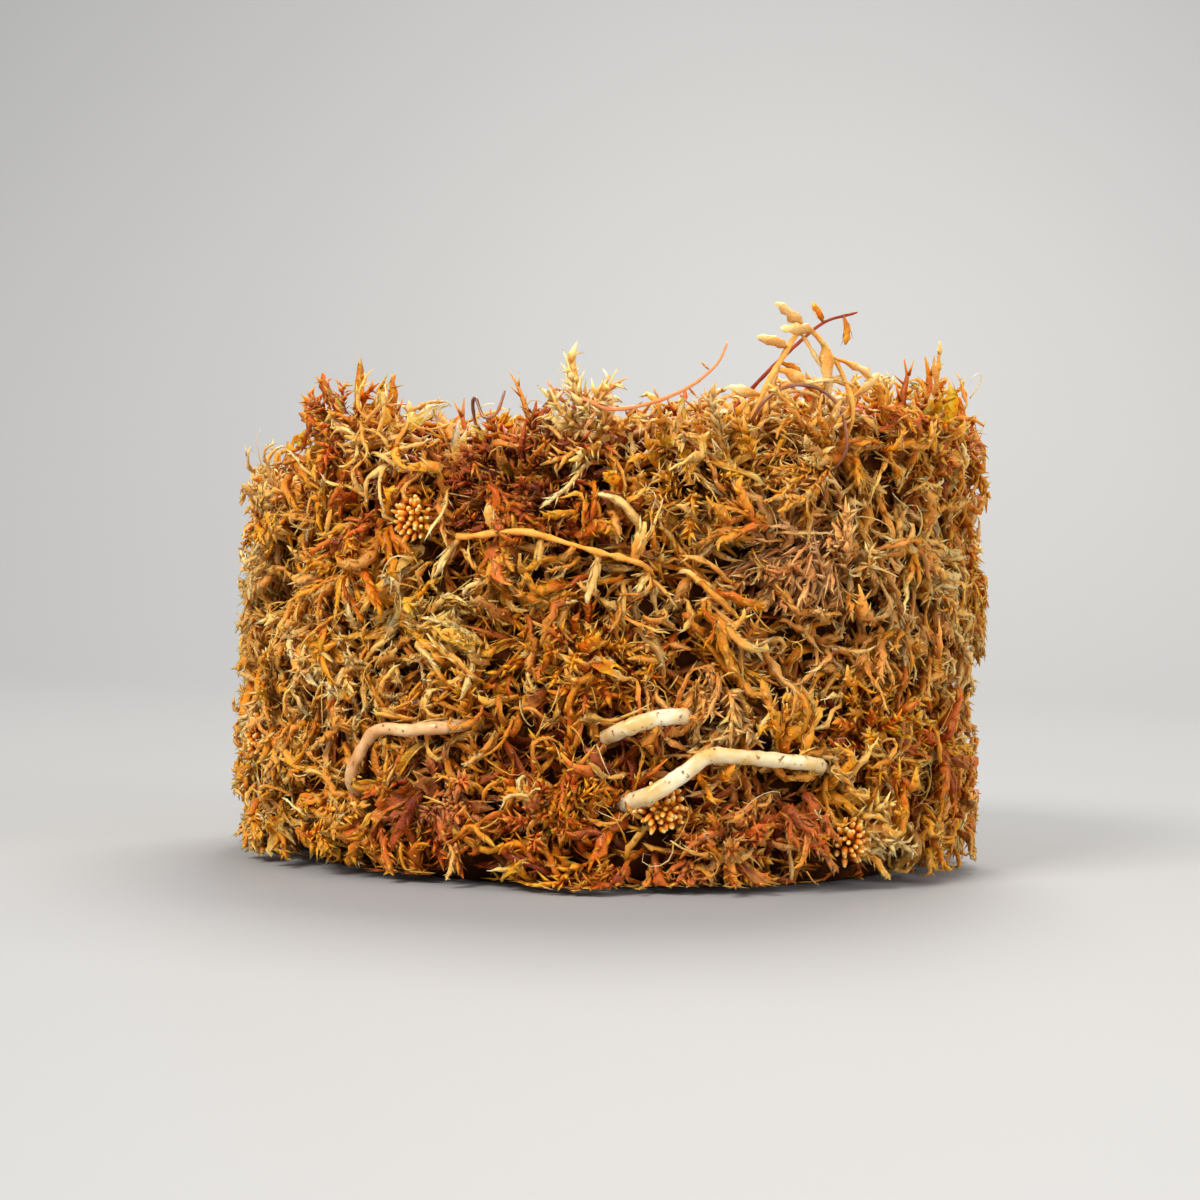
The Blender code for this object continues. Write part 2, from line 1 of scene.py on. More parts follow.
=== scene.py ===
"""The looks of a clump of packed, damp sphagnum moss that stands on its pressed underside.

Lengths here are in millimetres, and a mesh is turned to metres as it is made. A place on the clump is an angle
round it in degrees (0 faces the front, -Y, and 90 faces +X), a height and a radius, as in the part's source.
"""

import logging
import math
from dataclasses import dataclass, field
from enum import Enum

import bmesh
import bpy
import numpy as np
from mathutils import Matrix, Vector, noise


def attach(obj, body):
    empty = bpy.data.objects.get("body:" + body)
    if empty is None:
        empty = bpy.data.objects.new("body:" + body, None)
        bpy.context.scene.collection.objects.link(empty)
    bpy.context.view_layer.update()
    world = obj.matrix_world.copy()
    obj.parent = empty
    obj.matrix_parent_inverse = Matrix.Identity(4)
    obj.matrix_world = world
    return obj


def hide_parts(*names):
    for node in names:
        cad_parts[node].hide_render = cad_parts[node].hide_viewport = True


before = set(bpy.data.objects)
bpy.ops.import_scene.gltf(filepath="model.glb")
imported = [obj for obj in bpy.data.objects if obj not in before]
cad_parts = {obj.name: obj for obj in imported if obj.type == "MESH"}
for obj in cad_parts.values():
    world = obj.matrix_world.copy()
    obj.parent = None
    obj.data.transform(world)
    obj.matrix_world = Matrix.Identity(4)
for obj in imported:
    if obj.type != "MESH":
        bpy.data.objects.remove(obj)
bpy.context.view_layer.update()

LOG = logging.getLogger("moss_clump")
MM = 0.001
GOLDEN_ANGLE = math.radians(137.508)
UP = np.array([0.0, 0.0, 1.0])
TIP_SQUEEZE = 1.6  # the outer layer, in mm, in which leaf tips are squeezed
SKIN_SQUEEZE = 1.2  # the one in which roots, twigs and stems are
BRANCH_SQUEEZE = 5.0  # and the one in which the ways of whole branches are


class Finish(Enum):
    """The finishes of the clump, by the record's slots."""

    STRAW = "straw"
    PALE_STRAW = "pale_straw"
    GOLD = "gold"
    ORANGE = "orange"
    RUST = "rust"
    DARK_RED = "dark_red"
    PINK = "pink"
    BUD = "bud"
    THREAD_RED = "thread_red"
    ROOT_WHITE = "root_white"
    ROOT_TAN = "root_tan"
    TWIG = "twig"


def linear(hex_colour: str) -> tuple[float, float, float, float]:
    """Turns an sRGB hex colour into the linear colour that a shader takes.

    Args:
        hex_colour: six hex digits after a #.

    Returns:
        The linear red, green and blue, and an alpha of 1.
    """
    parts = [int(hex_colour[i : i + 2], 16) / 255 for i in (1, 3, 5)]
    return (*[c / 12.92 if c <= 0.04045 else ((c + 0.055) / 1.055) ** 2.4 for c in parts], 1.0)


def per_mm(size: float) -> float:
    """The scale of a pattern on Object coordinates whose cells are this many millimetres wide."""
    return 1.0 / (size * MM)


def feed(tree: bpy.types.NodeTree, node: bpy.types.Node, sockets: dict) -> None:
    """Sets a node's inputs.

    Args:
        tree: the material's node tree.
        node: the node.
        sockets: input names or numbers, each with a value or with the output that feeds it.
    """
    for key, value in sockets.items():
        if isinstance(value, bpy.types.NodeSocket):
            tree.links.new(value, node.inputs[key])
        else:
            node.inputs[key].default_value = value


def wire(
    tree: bpy.types.NodeTree, kind: str, sockets: dict | None = None, stops: tuple = (), **settings: object
) -> bpy.types.Node:
    """Adds a node with its settings and links.

    Args:
        tree: the material's node tree.
        kind: the node's type.
        sockets: what feed() takes.
        stops: a ramp's places and hex colours.
        settings: the node's own properties.

    Returns:
        The new node.
    """
    node = tree.nodes.new(kind)
    for name, value in settings.items():
        setattr(node, name, value)
    feed(tree, node, sockets or {})
    for k, (place, colour) in enumerate(stops):
        elements = node.color_ramp.elements
        stop = elements[k] if k < 2 else elements.new(place)
        stop.position = place
        stop.color = linear(colour)
    return node


def blank(name: str) -> tuple[bpy.types.Material, bpy.types.NodeTree, bpy.types.Node]:
    """Makes a new material.

    Args:
        name: its name.

    Returns:
        The material, its node tree and its Principled shader.
    """
    material = bpy.data.materials.new(name)
    material.use_nodes = True
    return material, material.node_tree, material.node_tree.nodes["Principled BSDF"]


def placed(mesh: bpy.types.Mesh, material: bpy.types.Material) -> bpy.types.Object:
    """Makes a mesh a smooth object of its own name, at the origin.

    Args:
        mesh: the mesh.
        material: its finish.

    Returns:
        The object.
    """
    mesh.shade_smooth()
    mesh.materials.append(material)
    made = bpy.data.objects.new(mesh.name, mesh)
    bpy.context.scene.collection.objects.link(made)
    return made


def closed(bm: bmesh.types.BMesh, name: str, material: bpy.types.Material) -> bpy.types.Object:
    """Makes a bmesh a smooth object, and frees it.

    Args:
        bm: the mesh.
        name: the object's name.
        material: its finish.

    Returns:
        The object.
    """
    mesh = bpy.data.meshes.new(name)
    bm.to_mesh(mesh)
    bm.free()
    return placed(mesh, material)


@dataclass(frozen=True)
class SphagnumFinish:
    """Damp sphagnum moss, grown: leaves one cell thick, most of whose cells are empty and hold water.

    To the eye they are pale, waxy and a little see-through, warmer where light has gone through more of them, with
    small wet glints. The attribute "growth" holds, for each point, the hue along the ramp (red), the blush (green:
    over half is pinkish, under half is olive), how near a leaf's tip it is (blue), and a tone for each leaf (alpha),
    which also carries painted shade. Where the tone is darker, the colour is painted warmer as well as darker.
    """

    name: str = "damp_sphagnum"
    roughness: float = 0.43
    mottle_mm: float = 1.3
    mottled: float = 0.30
    ramp: tuple = (
        (0.00, "#F4CF8E"), (0.15, "#EDB45C"), (0.30, "#E89838"), (0.45, "#F09C16"),
        (0.60, "#DE720E"), (0.75, "#C2540B"), (0.90, "#983509"), (1.00, "#6E2006"),
    )
    blush: str = "#DC9464"
    olive: str = "#C49A26"
    tipped: float = 0.30
    shade: tuple[float, float] = (0.33, 1.18)
    shade_warmth: tuple[float, float] = (1.18, 1.5)
    grain_mm: float = 0.35
    grain_depth_mm: float = 0.3

    def material(self) -> bpy.types.Material:
        """Builds the material.

        Returns:
            The material.
        """
        material, tree, shader = blank(self.name)
        growth = wire(tree, "ShaderNodeAttribute", attribute_name="growth")
        hue, blush, leaf = wire(tree, "ShaderNodeSeparateColor", {"Color": growth.outputs["Color"]}).outputs
        place = wire(tree, "ShaderNodeTexCoord").outputs["Object"]
        mottle = wire(tree, "ShaderNodeTexNoise", {"Vector": place, "Scale": per_mm(self.mottle_mm), "Detail": 3.0})
        drift = wire(
            tree, "ShaderNodeMath", {0: mottle.outputs["Fac"], 1: self.mottled, 2: hue}, operation="MULTIPLY_ADD"
        )
        # Leaves pale along the ramp from their first third to their tips. The mottle's mean is taken off again.
        mean = self.mottled / 2
        paling = wire(
            tree, "ShaderNodeMapRange", {"Value": leaf, "From Min": 0.3, "To Min": mean, "To Max": mean + self.tipped}
        )
        paled = wire(tree, "ShaderNodeMath", {0: drift.outputs[0], 1: paling.outputs[0]}, operation="SUBTRACT")
        colour = wire(tree, "ShaderNodeValToRGB", {"Fac": paled.outputs[0]}, stops=self.ramp).outputs[0]
        for end, tint in ((1.0, self.blush), (0.0, self.olive)):
            share = wire(tree, "ShaderNodeMapRange", {"Value": blush, "From Min": 0.5, "From Max": end})
            sockets = {"Factor": share.outputs[0], 6: colour, 7: linear(tint)}
            colour = wire(tree, "ShaderNodeMix", sockets, data_type="RGBA").outputs[2]
        # The tone, which carries painted shade, sets the brightness; green and blue fall faster, so darker places are
        # painted warmer.
        sockets = {"Value": growth.outputs["Alpha"], "To Min": self.shade[0], "To Max": self.shade[1]}
        tone = wire(tree, "ShaderNodeMapRange", sockets).outputs[0]
        green, blue = (wire(tree, "ShaderNodeMath", {0: tone, 1: p}, operation="POWER").outputs[0] for p in self.shade_warmth)
        shade_warm = wire(tree, "ShaderNodeCombineXYZ", {"X": tone, "Y": green, "Z": blue})
        toned = wire(tree, "ShaderNodeVectorMath", {0: colour, 1: shade_warm.outputs[0]}, operation="MULTIPLY")
        # A leaf's cells are about 0.1 mm long. They are drawn three times as coarse, so that they show.
        grain = wire(tree, "ShaderNodeTexNoise", {"Vector": place, "Scale": per_mm(self.grain_mm), "Detail": 2.0})
        depth = self.grain_depth_mm * MM
        bump = wire(tree, "ShaderNodeBump", {"Height": grain.outputs["Fac"], "Strength": 0.7, "Distance": depth})
        feed(tree, shader, {
            "Base Color": toned.outputs[0],
            "Normal": bump.outputs[0],
            "Roughness": self.roughness,
            "IOR": 1.38,
            "Specular IOR Level": 0.3,
            "Subsurface Weight": 0.5,
            "Subsurface Radius": (1.0, 0.5, 0.18),
            "Subsurface Scale": 1.3 * MM,
            "Coat Weight": 0.14,
            "Coat Roughness": 0.08,
        })
        return material


@dataclass(frozen=True)
class SpeckledFinish:
    """The skin of a root or a twig, grown and weathered, or the moss's dark heart, whose colours are painted shade.

    One colour runs into another in blotches, with darker freckles that stand up a little, under a damp film.
    """

    name: str
    light: str
    dark: str
    freckle: str
    blotch_mm: float = 3.5
    freckle_mm: float = 0.8
    freckle_from: float = 0.62
    roughness: float = 0.4
    subsurface: float = 0.2
    coat: float = 0.3
    specular: float = 0.5

    def material(self) -> bpy.types.Material:
        """Builds the material.

        Returns:
            The material.
        """
        material, tree, shader = blank(self.name)
        place = wire(tree, "ShaderNodeTexCoord").outputs["Object"]
        blotch = wire(tree, "ShaderNodeTexNoise", {"Vector": place, "Scale": per_mm(self.blotch_mm), "Detail": 4.0})
        stops = ((0.35, self.light), (0.65, self.dark))
        colour = wire(tree, "ShaderNodeValToRGB", {"Fac": blotch.outputs["Fac"]}, stops=stops)
        sockets = {"Vector": place, "Scale": per_mm(self.freckle_mm), "Detail": 2.0}
        freckles = wire(tree, "ShaderNodeTexNoise", sockets).outputs["Fac"]
        start = self.freckle_from
        where = wire(tree, "ShaderNodeMapRange", {"Value": freckles, "From Min": start, "From Max": start + 0.1})
        sockets = {"Factor": where.outputs[0], 6: colour.outputs[0], 7: linear(self.freckle)}
        mixed = wire(tree, "ShaderNodeMix", sockets, data_type="RGBA")
        bump = wire(tree, "ShaderNodeBump", {"Height": freckles, "Strength": 0.4, "Distance": 0.15 * MM})
        feed(tree, shader, {
            "Base Color": mixed.outputs[2],
            "Normal": bump.outputs[0],
            "Roughness": self.roughness,
            "Subsurface Weight": self.subsurface,
            "Subsurface Radius": (1.0, 0.6, 0.3),
            "Subsurface Scale": 0.8 * MM,
            "Coat Weight": self.coat,
            "Coat Roughness": 0.15,
            "Specular IOR Level": self.specular,
        })
        return material


@dataclass(frozen=True)
class WaterFinish:
    """Still water in a bead: clear and smooth, so it shows as a bright point with a dark edge."""

    name: str = "water_droplet"

    def material(self) -> bpy.types.Material:
        """Builds the material.

        Returns:
            The material.
        """
        material, tree, shader = blank(self.name)
        feed(tree, shader, {
            "Base Color": linear("#FFFFFF"), "Roughness": 0.02, "IOR": 1.333, "Transmission Weight": 1.0,
        })
        return material


@dataclass
class PackedForm:
    """The round, pressed shape that the moss was packed into.

    The rim is tilted and waved, with peaks as (angle, rise, spread in radians). What hangs lower than squash_from
    is squashed on the surface below it, down to squash_floor.
    """

    packed_radius: float = 58.5
    core_radius: float = 50.2
    foot_radius: float = 46.0
    rim_height: float = 63.5
    rim_rise: float = 5.0
    rim_wave: float = 1.6
    peaks: tuple = ((-46.0, 6.0, 0.17), (56.0, 4.0, 0.5))
    squash_from: float = 2.2
    squash_floor: float = 0.3

    def rim(self, turn: np.ndarray) -> np.ndarray:
        """The height of the body's top edge.

        Args:
            turn: angles round the clump, in radians.

        Returns:
            A height for each angle.
        """
        height = self.rim_height + self.rim_rise * np.sin(turn) + self.rim_wave * np.cos(3.0 * turn + 0.6)
        for angle, rise, spread in self.peaks:
            off = np.remainder(turn - math.radians(angle) + math.pi, math.tau) - math.pi
            height = height + rise * np.exp(-((off / spread) ** 2))
        return height

    def point(self, angle: np.ndarray, height: np.ndarray, radius: np.ndarray) -> np.ndarray:
        """Points at angles in degrees, heights and radii."""
        turn = np.radians(angle)
        return np.stack([radius * np.sin(turn), -radius * np.cos(turn), height + 0.0 * turn], axis=-1)

    def outward(self, angle: np.ndarray) -> np.ndarray:
        """The level ways out of the side, at angles in degrees."""
        return self.point(angle, 0.0 * angle, 1.0 + 0.0 * angle)

    def angle_of(self, points: np.ndarray) -> np.ndarray:
        """The angle round the clump of each point, in radians."""
        return np.arctan2(points[..., 0], -points[..., 1])

    def press(self, points: np.ndarray, depth: float) -> np.ndarray:
        """Squeezes what stands in the outer layer of this depth, as packing does, and squashes the foot.

        Args:
            points: the points, in an array whose last axis is x, y, z.
            depth: how thick the squeezed layer is.

        Returns:
            The moved points, in the same order.
        """
        radius = np.hypot(points[..., 0], points[..., 1])
        free = self.packed_radius - depth
        over = np.maximum(radius - free, 0.0)
        kept = np.where(over > 0.0, free + depth * np.tanh(over / depth), radius)
        out = points * (kept / np.maximum(radius, 1e-6))[..., None]
        soft = self.squash_from - self.squash_floor
        under = np.minimum(points[..., 2] - self.squash_from, 0.0)
        out[..., 2] = np.where(under < 0.0, self.squash_floor + soft * np.exp(under / soft), points[..., 2])
        return out


@dataclass
class Template:
    """A straight branch: x and y across it in mm, and z from 0 at its root to 1 at its tip."""

    points: np.ndarray
    triangles: np.ndarray
    leaf: np.ndarray
    stray: np.ndarray

    @staticmethod
    def from_bmesh(bm: bmesh.types.BMesh, length: float) -> "Template":
        """Reads a template from a mesh that stands along +Z, and frees it.

        Args:
            bm: the mesh, with the layers of empty_template().
            length: its height.

        Returns:
            The template.
        """
        bmesh.ops.triangulate(bm, faces=bm.faces)
        bm.verts.index_update()
        leaf, stray = layers(bm)
        points = np.array([v.co[:] for v in bm.verts])
        points[:, 2] /= length
        triangles = np.array([[v.index for v in f.verts] for f in bm.faces])
        rows = [np.array([v[layer] for v in bm.verts]) for layer in (leaf, stray)]
        bm.free()
        return Template(points, triangles, *rows)


def empty_template() -> bmesh.types.BMesh:
    """Makes an empty mesh with the layers that a template needs.

    Returns:
        The mesh.
    """
    bm = bmesh.new()
    for name in ("leaf", "stray"):
        bm.verts.layers.float.new(name)
    return bm


def layers(bm: bmesh.types.BMesh) -> list[bmesh.types.BMLayerItem]:
    """A template's layers: how near a leaf's tip a point is, and its leaf's stray from the branch's looks."""
    return [bm.verts.layers.float[name] for name in ("leaf", "stray")]


def add_rod(bm: bmesh.types.BMesh, length: float, sides: int, rings: int) -> list[bmesh.types.BMVert]:
    """Adds a rod of radius one that stands on the origin, cut into rings.

    Args:
        bm: the mesh that it joins, which is empty.
        length: its height.
        sides: how many sides it has.
        rings: how many stretches it is cut into.

    Returns:
        Its points.
    """
    middle = Matrix.Translation((0.0, 0.0, length / 2))
    bmesh.ops.create_cone(bm, cap_ends=True, segments=sides, radius1=1.0, radius2=1.0, depth=length, matrix=middle)
    for k in range(1, rings):
        geom = [*bm.verts, *bm.edges, *bm.faces]
        bmesh.ops.bisect_plane(bm, geom=geom, plane_co=(0.0, 0.0, length * k / rings), plane_no=(0.0, 0.0, 1.0))
    return list(bm.verts)


@dataclass
class BranchForm:
    """One kind of sphagnum branch: a soft, flattish stalk whose thin leaves run into it and stand off it in points.

    The points stand off by opening, in degrees: few for a tight, worm-like branch, many for a starry one. Fray
    spreads those at the tip, and rough crumples the stalk.
    """

    length: float = 10.0
    stalk: float = 0.8
    foot: float = 0.5
    flat: float = 0.6
    leaves: int = 20
    leaf_length: float = 2.0
    leaf_width: float = 0.8
    opening: float = 24.0
    fray: float = 1.6
    recurve: float = 0.15
    rough: float = 0.2
    sides: int = 6
    rings: int = 8
    blade: bool = False
    seed: int = 1

    def radius(self, share: float) -> float:
        """The stalk's radius at a share of its length: fullest before its middle, fine at its tip."""
        return self.stalk * (self.foot * (1.0 - share) + 0.15 * share + 1.6 * share * (1.0 - share))

    def add_stalk(self, bm: bmesh.types.BMesh, draw: np.random.Generator) -> None:
        """Adds the stalk, crumpled and stepped as the leaves that lie over each other make it.

        Args:
            bm: the mesh that it joins, which is empty.
            draw: the seeded source of its crumples.
        """
        leaf_layer, stray_layer = layers(bm)
        steps = 1.0 + 0.34 * draw.uniform(-1.0, 1.0, self.rings + 1)
        shifts = draw.normal(0.0, 0.6 * self.rough * self.stalk, (self.rings + 1, 2))
        for vert in add_rod(bm, self.length, self.sides, self.rings):
            share = vert.co.z / self.length
            ring = round(share * self.rings)
            radius = self.radius(share) * steps[ring] * (1.0 + self.rough * draw.uniform(-1, 1))
            vert.co.x = vert.co.x * radius + shifts[ring, 0]
            vert.co.y = vert.co.y * radius * self.flat + shifts[ring, 1] * self.flat
            vert.co.z += self.rough * draw.uniform(-0.5, 0.5)
            vert[leaf_layer] = 0.12 + 0.35 * share + draw.uniform(-0.1, 0.15)
            vert[stray_layer] = draw.uniform()

    def add_leaf(self, bm: bmesh.types.BMesh, place: Matrix, long: float, wide: float, stray: float) -> None:
        """Adds one leaf that is closed all round: a broad blade, or a slim point.

        Args:
            bm: the mesh that it joins.
            place: the leaf's own frame, with its length along Y and its back along Z.
            long: its length.
            wide: its width.
            stray: a number from 0 to 1 that sets its tone.
        """
        leaf_layer, stray_layer = layers(bm)
        sides = 4 if self.blade else 3
        made = bmesh.ops.create_cone(bm, cap_ends=True, segments=sides, radius1=1.0, radius2=0.0, depth=1.0)
        bmesh.ops.remove_doubles(bm, verts=made["verts"], dist=1e-5)
        for vert in [v for v in made["verts"] if v.is_valid]:
            x, y, z = vert.co
            if self.blade:
                edge, apex = abs(x) > 0.1, z > 0.0
                share = 0.5 + 0.5 * y - (0.13 if edge else 0.0) - (0.10 if apex else 0.0)
                lift = 0.16 * wide if apex else (-0.14 * wide if edge else 0.0)
                spot = Vector((x * wide / 2, share * long, lift + self.recurve * long * share**2))
            else:
                share = 1.0 if z > 0.0 else 0.0
                spot = Vector((x * wide / 2, share * long, y * wide / 5 + self.recurve * long * share))
            vert.co = place @ spot
            vert[leaf_layer] = 0.25 + 0.75 * share
            vert[stray_layer] = stray

    def template(self) -> Template:
        """Builds the branch.

        Returns:
            The straight branch.
        """
        draw = np.random.default_rng(self.seed)
        bm = empty_template()
        self.add_stalk(bm, draw)
        upward = Vector(UP)
        for k in range(self.leaves):
            share = (k + 0.3) / self.leaves
            turn = k * GOLDEN_ANGLE + draw.uniform(-0.3, 0.3)
            fray = 1.0 + (self.fray - 1.0) * max(0.0, share - 0.7) / 0.3
            open_by = math.radians(self.opening * draw.uniform(0.5, 1.5) * fray)
            outward = Vector((math.cos(turn), math.sin(turn), 0.0))
            across = upward.cross(outward)
            along = upward * math.cos(open_by) + outward * math.sin(open_by)
            back = outward * math.cos(open_by) - upward * math.sin(open_by)
            buried = outward * (0.55 * self.radius(share)) * Vector((1.0, self.flat, 1.0)).length / 1.7
            place = Matrix((across, along, back)).transposed().to_4x4()
            place.translation = buried + upward * (share * (self.length - 0.6 * self.leaf_length))
            size = draw.uniform(0.65, 1.25)
            self.add_leaf(bm, place, self.leaf_length * size, self.leaf_width * size, draw.uniform())
        bmesh.ops.recalc_face_normals(bm, faces=bm.faces)
        return Template.from_bmesh(bm, self.length)


@dataclass
class FlakeForm:
    """A crumpled sheet of leaf tissue: narrow where it starts, folded lengthways, and torn to points at its end."""

    length: float = 6.5
    width: float = 3.0
    thick: float = 0.22
    columns: int = 3
    rows: int = 6
    fold: float = 0.45
    seed: int = 1

    def template(self) -> Template:
        """Builds the sheet.

        Returns:
            The straight sheet.
        """
        draw = np.random.default_rng(self.seed)
        bm = empty_template()
        leaf_layer, stray_layer = layers(bm)
        bmesh.ops.create_grid(bm, x_segments=self.columns, y_segments=self.rows, size=0.5)
        folds = draw.uniform(-1.0, 1.0, self.columns + 1) * self.fold
        for vert in bm.verts:
            across, share = vert.co.x, vert.co.y + 0.5
            column, row = round((across + 0.5) * self.columns), round(share * self.rows)
            wide = self.width * (0.30 + 1.5 * share - 1.15 * share * share) * draw.uniform(0.65, 1.35)
            torn = (0.9 if column % 2 else -0.9) * draw.uniform(0.5, 1.4) if row == self.rows else 0.0
            crease = folds[column] * (0.4 + share) + 0.3 * math.sin(7.0 * share + column)
            crease += draw.uniform(-0.25, 0.25)
            cup = self.width * 0.9 * across * across
            vert.co = Vector((across * wide, crease + cup, share * self.length + torn + draw.uniform(-0.15, 0.15)))
            vert[leaf_layer] = min(1.0, 0.1 + 0.5 * share + 0.5 * abs(across) + (0.3 if row == self.rows else 0.0))
            vert[stray_layer] = draw.uniform()
        bmesh.ops.solidify(bm, geom=bm.faces[:], thickness=self.thick)
        bmesh.ops.recalc_face_normals(bm, faces=bm.faces)
        return Template.from_bmesh(bm, self.length)


@dataclass
class ThreadForm:
    """A bare stem or thread: a thin rod with a fine tip."""

    length: float = 10.0
    radius: float = 0.15
    sides: int = 3
    rings: int = 7
    tip: float = 0.25

    def template(self) -> Template:
        """Builds the thread.

        Returns:
            The straight thread.
        """
        bm = empty_template()
        leaf_layer, stray_layer = layers(bm)
        for vert in add_rod(bm, self.length, self.sides, self.rings):
            radius = self.radius * (1.0 - (1.0 - self.tip) * vert.co.z / self.length)
            vert.co.x *= radius
            vert.co.y *= radius
            vert[leaf_layer] = 0.5
            vert[stray_layer] = 0.6
        return Template.from_bmesh(bm, self.length)


@dataclass
class BudForm:
    """One tight young bud: an egg that is widest below its middle."""

    length: float = 2.4
    width: float = 1.1

    def template(self) -> Template:
        """Builds the bud.

        Returns:
            The straight bud.
        """
        bm = empty_template()
        leaf_layer, stray_layer = layers(bm)
        bmesh.ops.create_uvsphere(bm, u_segments=7, v_segments=6, radius=0.5)
        for vert in bm.verts:
            share = vert.co.z + 0.5
            fat = self.width * (1.15 - 0.45 * share)
            vert.co = Vector((vert.co.x * fat, vert.co.y * fat, share * self.length))
            vert[leaf_layer] = share
            vert[stray_layer] = 0.5
        return Template.from_bmesh(bm, self.length)


@dataclass
class Paths:
    """The curved ways of many branches at once, one row for each.

    Each starts at start, heads along heading and bends towards bend: by turn radians in all, by hook radians more
    close to its tip, and to and fro by wave radians.
    """

    start: np.ndarray
    heading: np.ndarray
    bend: np.ndarray
    length: np.ndarray
    turn: np.ndarray
    hook: np.ndarray
    wave: np.ndarray
    samples: int = 18

    def pick(self, rows: np.ndarray) -> "Paths":
        """Some of the ways."""
        names = ("start", "heading", "bend", "length", "turn", "hook", "wave")
        return Paths(*(getattr(self, name)[rows] for name in names))

    def sampled(self) -> tuple[np.ndarray, np.ndarray, np.ndarray]:
        """Follows each way.

        Returns:
            The points along each way, and the directions there towards the bend and sideways.
        """
        share = np.linspace(0.0, 1.0, self.samples)
        forward = unit(self.heading)
        inward = unit(self.bend - forward * np.sum(self.bend * forward, axis=1, keepdims=True))
        sideways = np.cross(forward, inward)
        angle = self.turn[:, None] * share + self.hook[:, None] * share**4
        angle = angle + self.wave[:, None] * np.sin(share * 9.0 + 40.0 * self.wave[:, None])
        cos, sin = np.cos(angle)[..., None], np.sin(angle)[..., None]
        ahead = cos * forward[:, None] + sin * inward[:, None]
        towards = cos * inward[:, None] - sin * forward[:, None]
        step = (self.length / (self.samples - 1))[:, None, None]
        moves = 0.5 * (ahead[:, 1:] + ahead[:, :-1]) * step
        centre = np.concatenate([self.start[:, None], self.start[:, None] + np.cumsum(moves, axis=1)], axis=1)
        return centre, towards, np.repeat(sideways[:, None], self.samples, axis=1)


def unit(vectors: np.ndarray) -> np.ndarray:
    """The vectors at length one."""
    return vectors / np.maximum(np.linalg.norm(vectors, axis=-1, keepdims=True), 1e-9)


@dataclass
class Growth:
    """What a branch looks like: its hue along the ramp, its blush and its tone, one value for each branch."""

    hue: np.ndarray
    blush: np.ndarray
    tone: np.ndarray

    def pick(self, rows: np.ndarray) -> "Growth":
        """The looks of some of the branches."""
        return Growth(self.hue[rows], self.blush[rows], self.tone[rows])


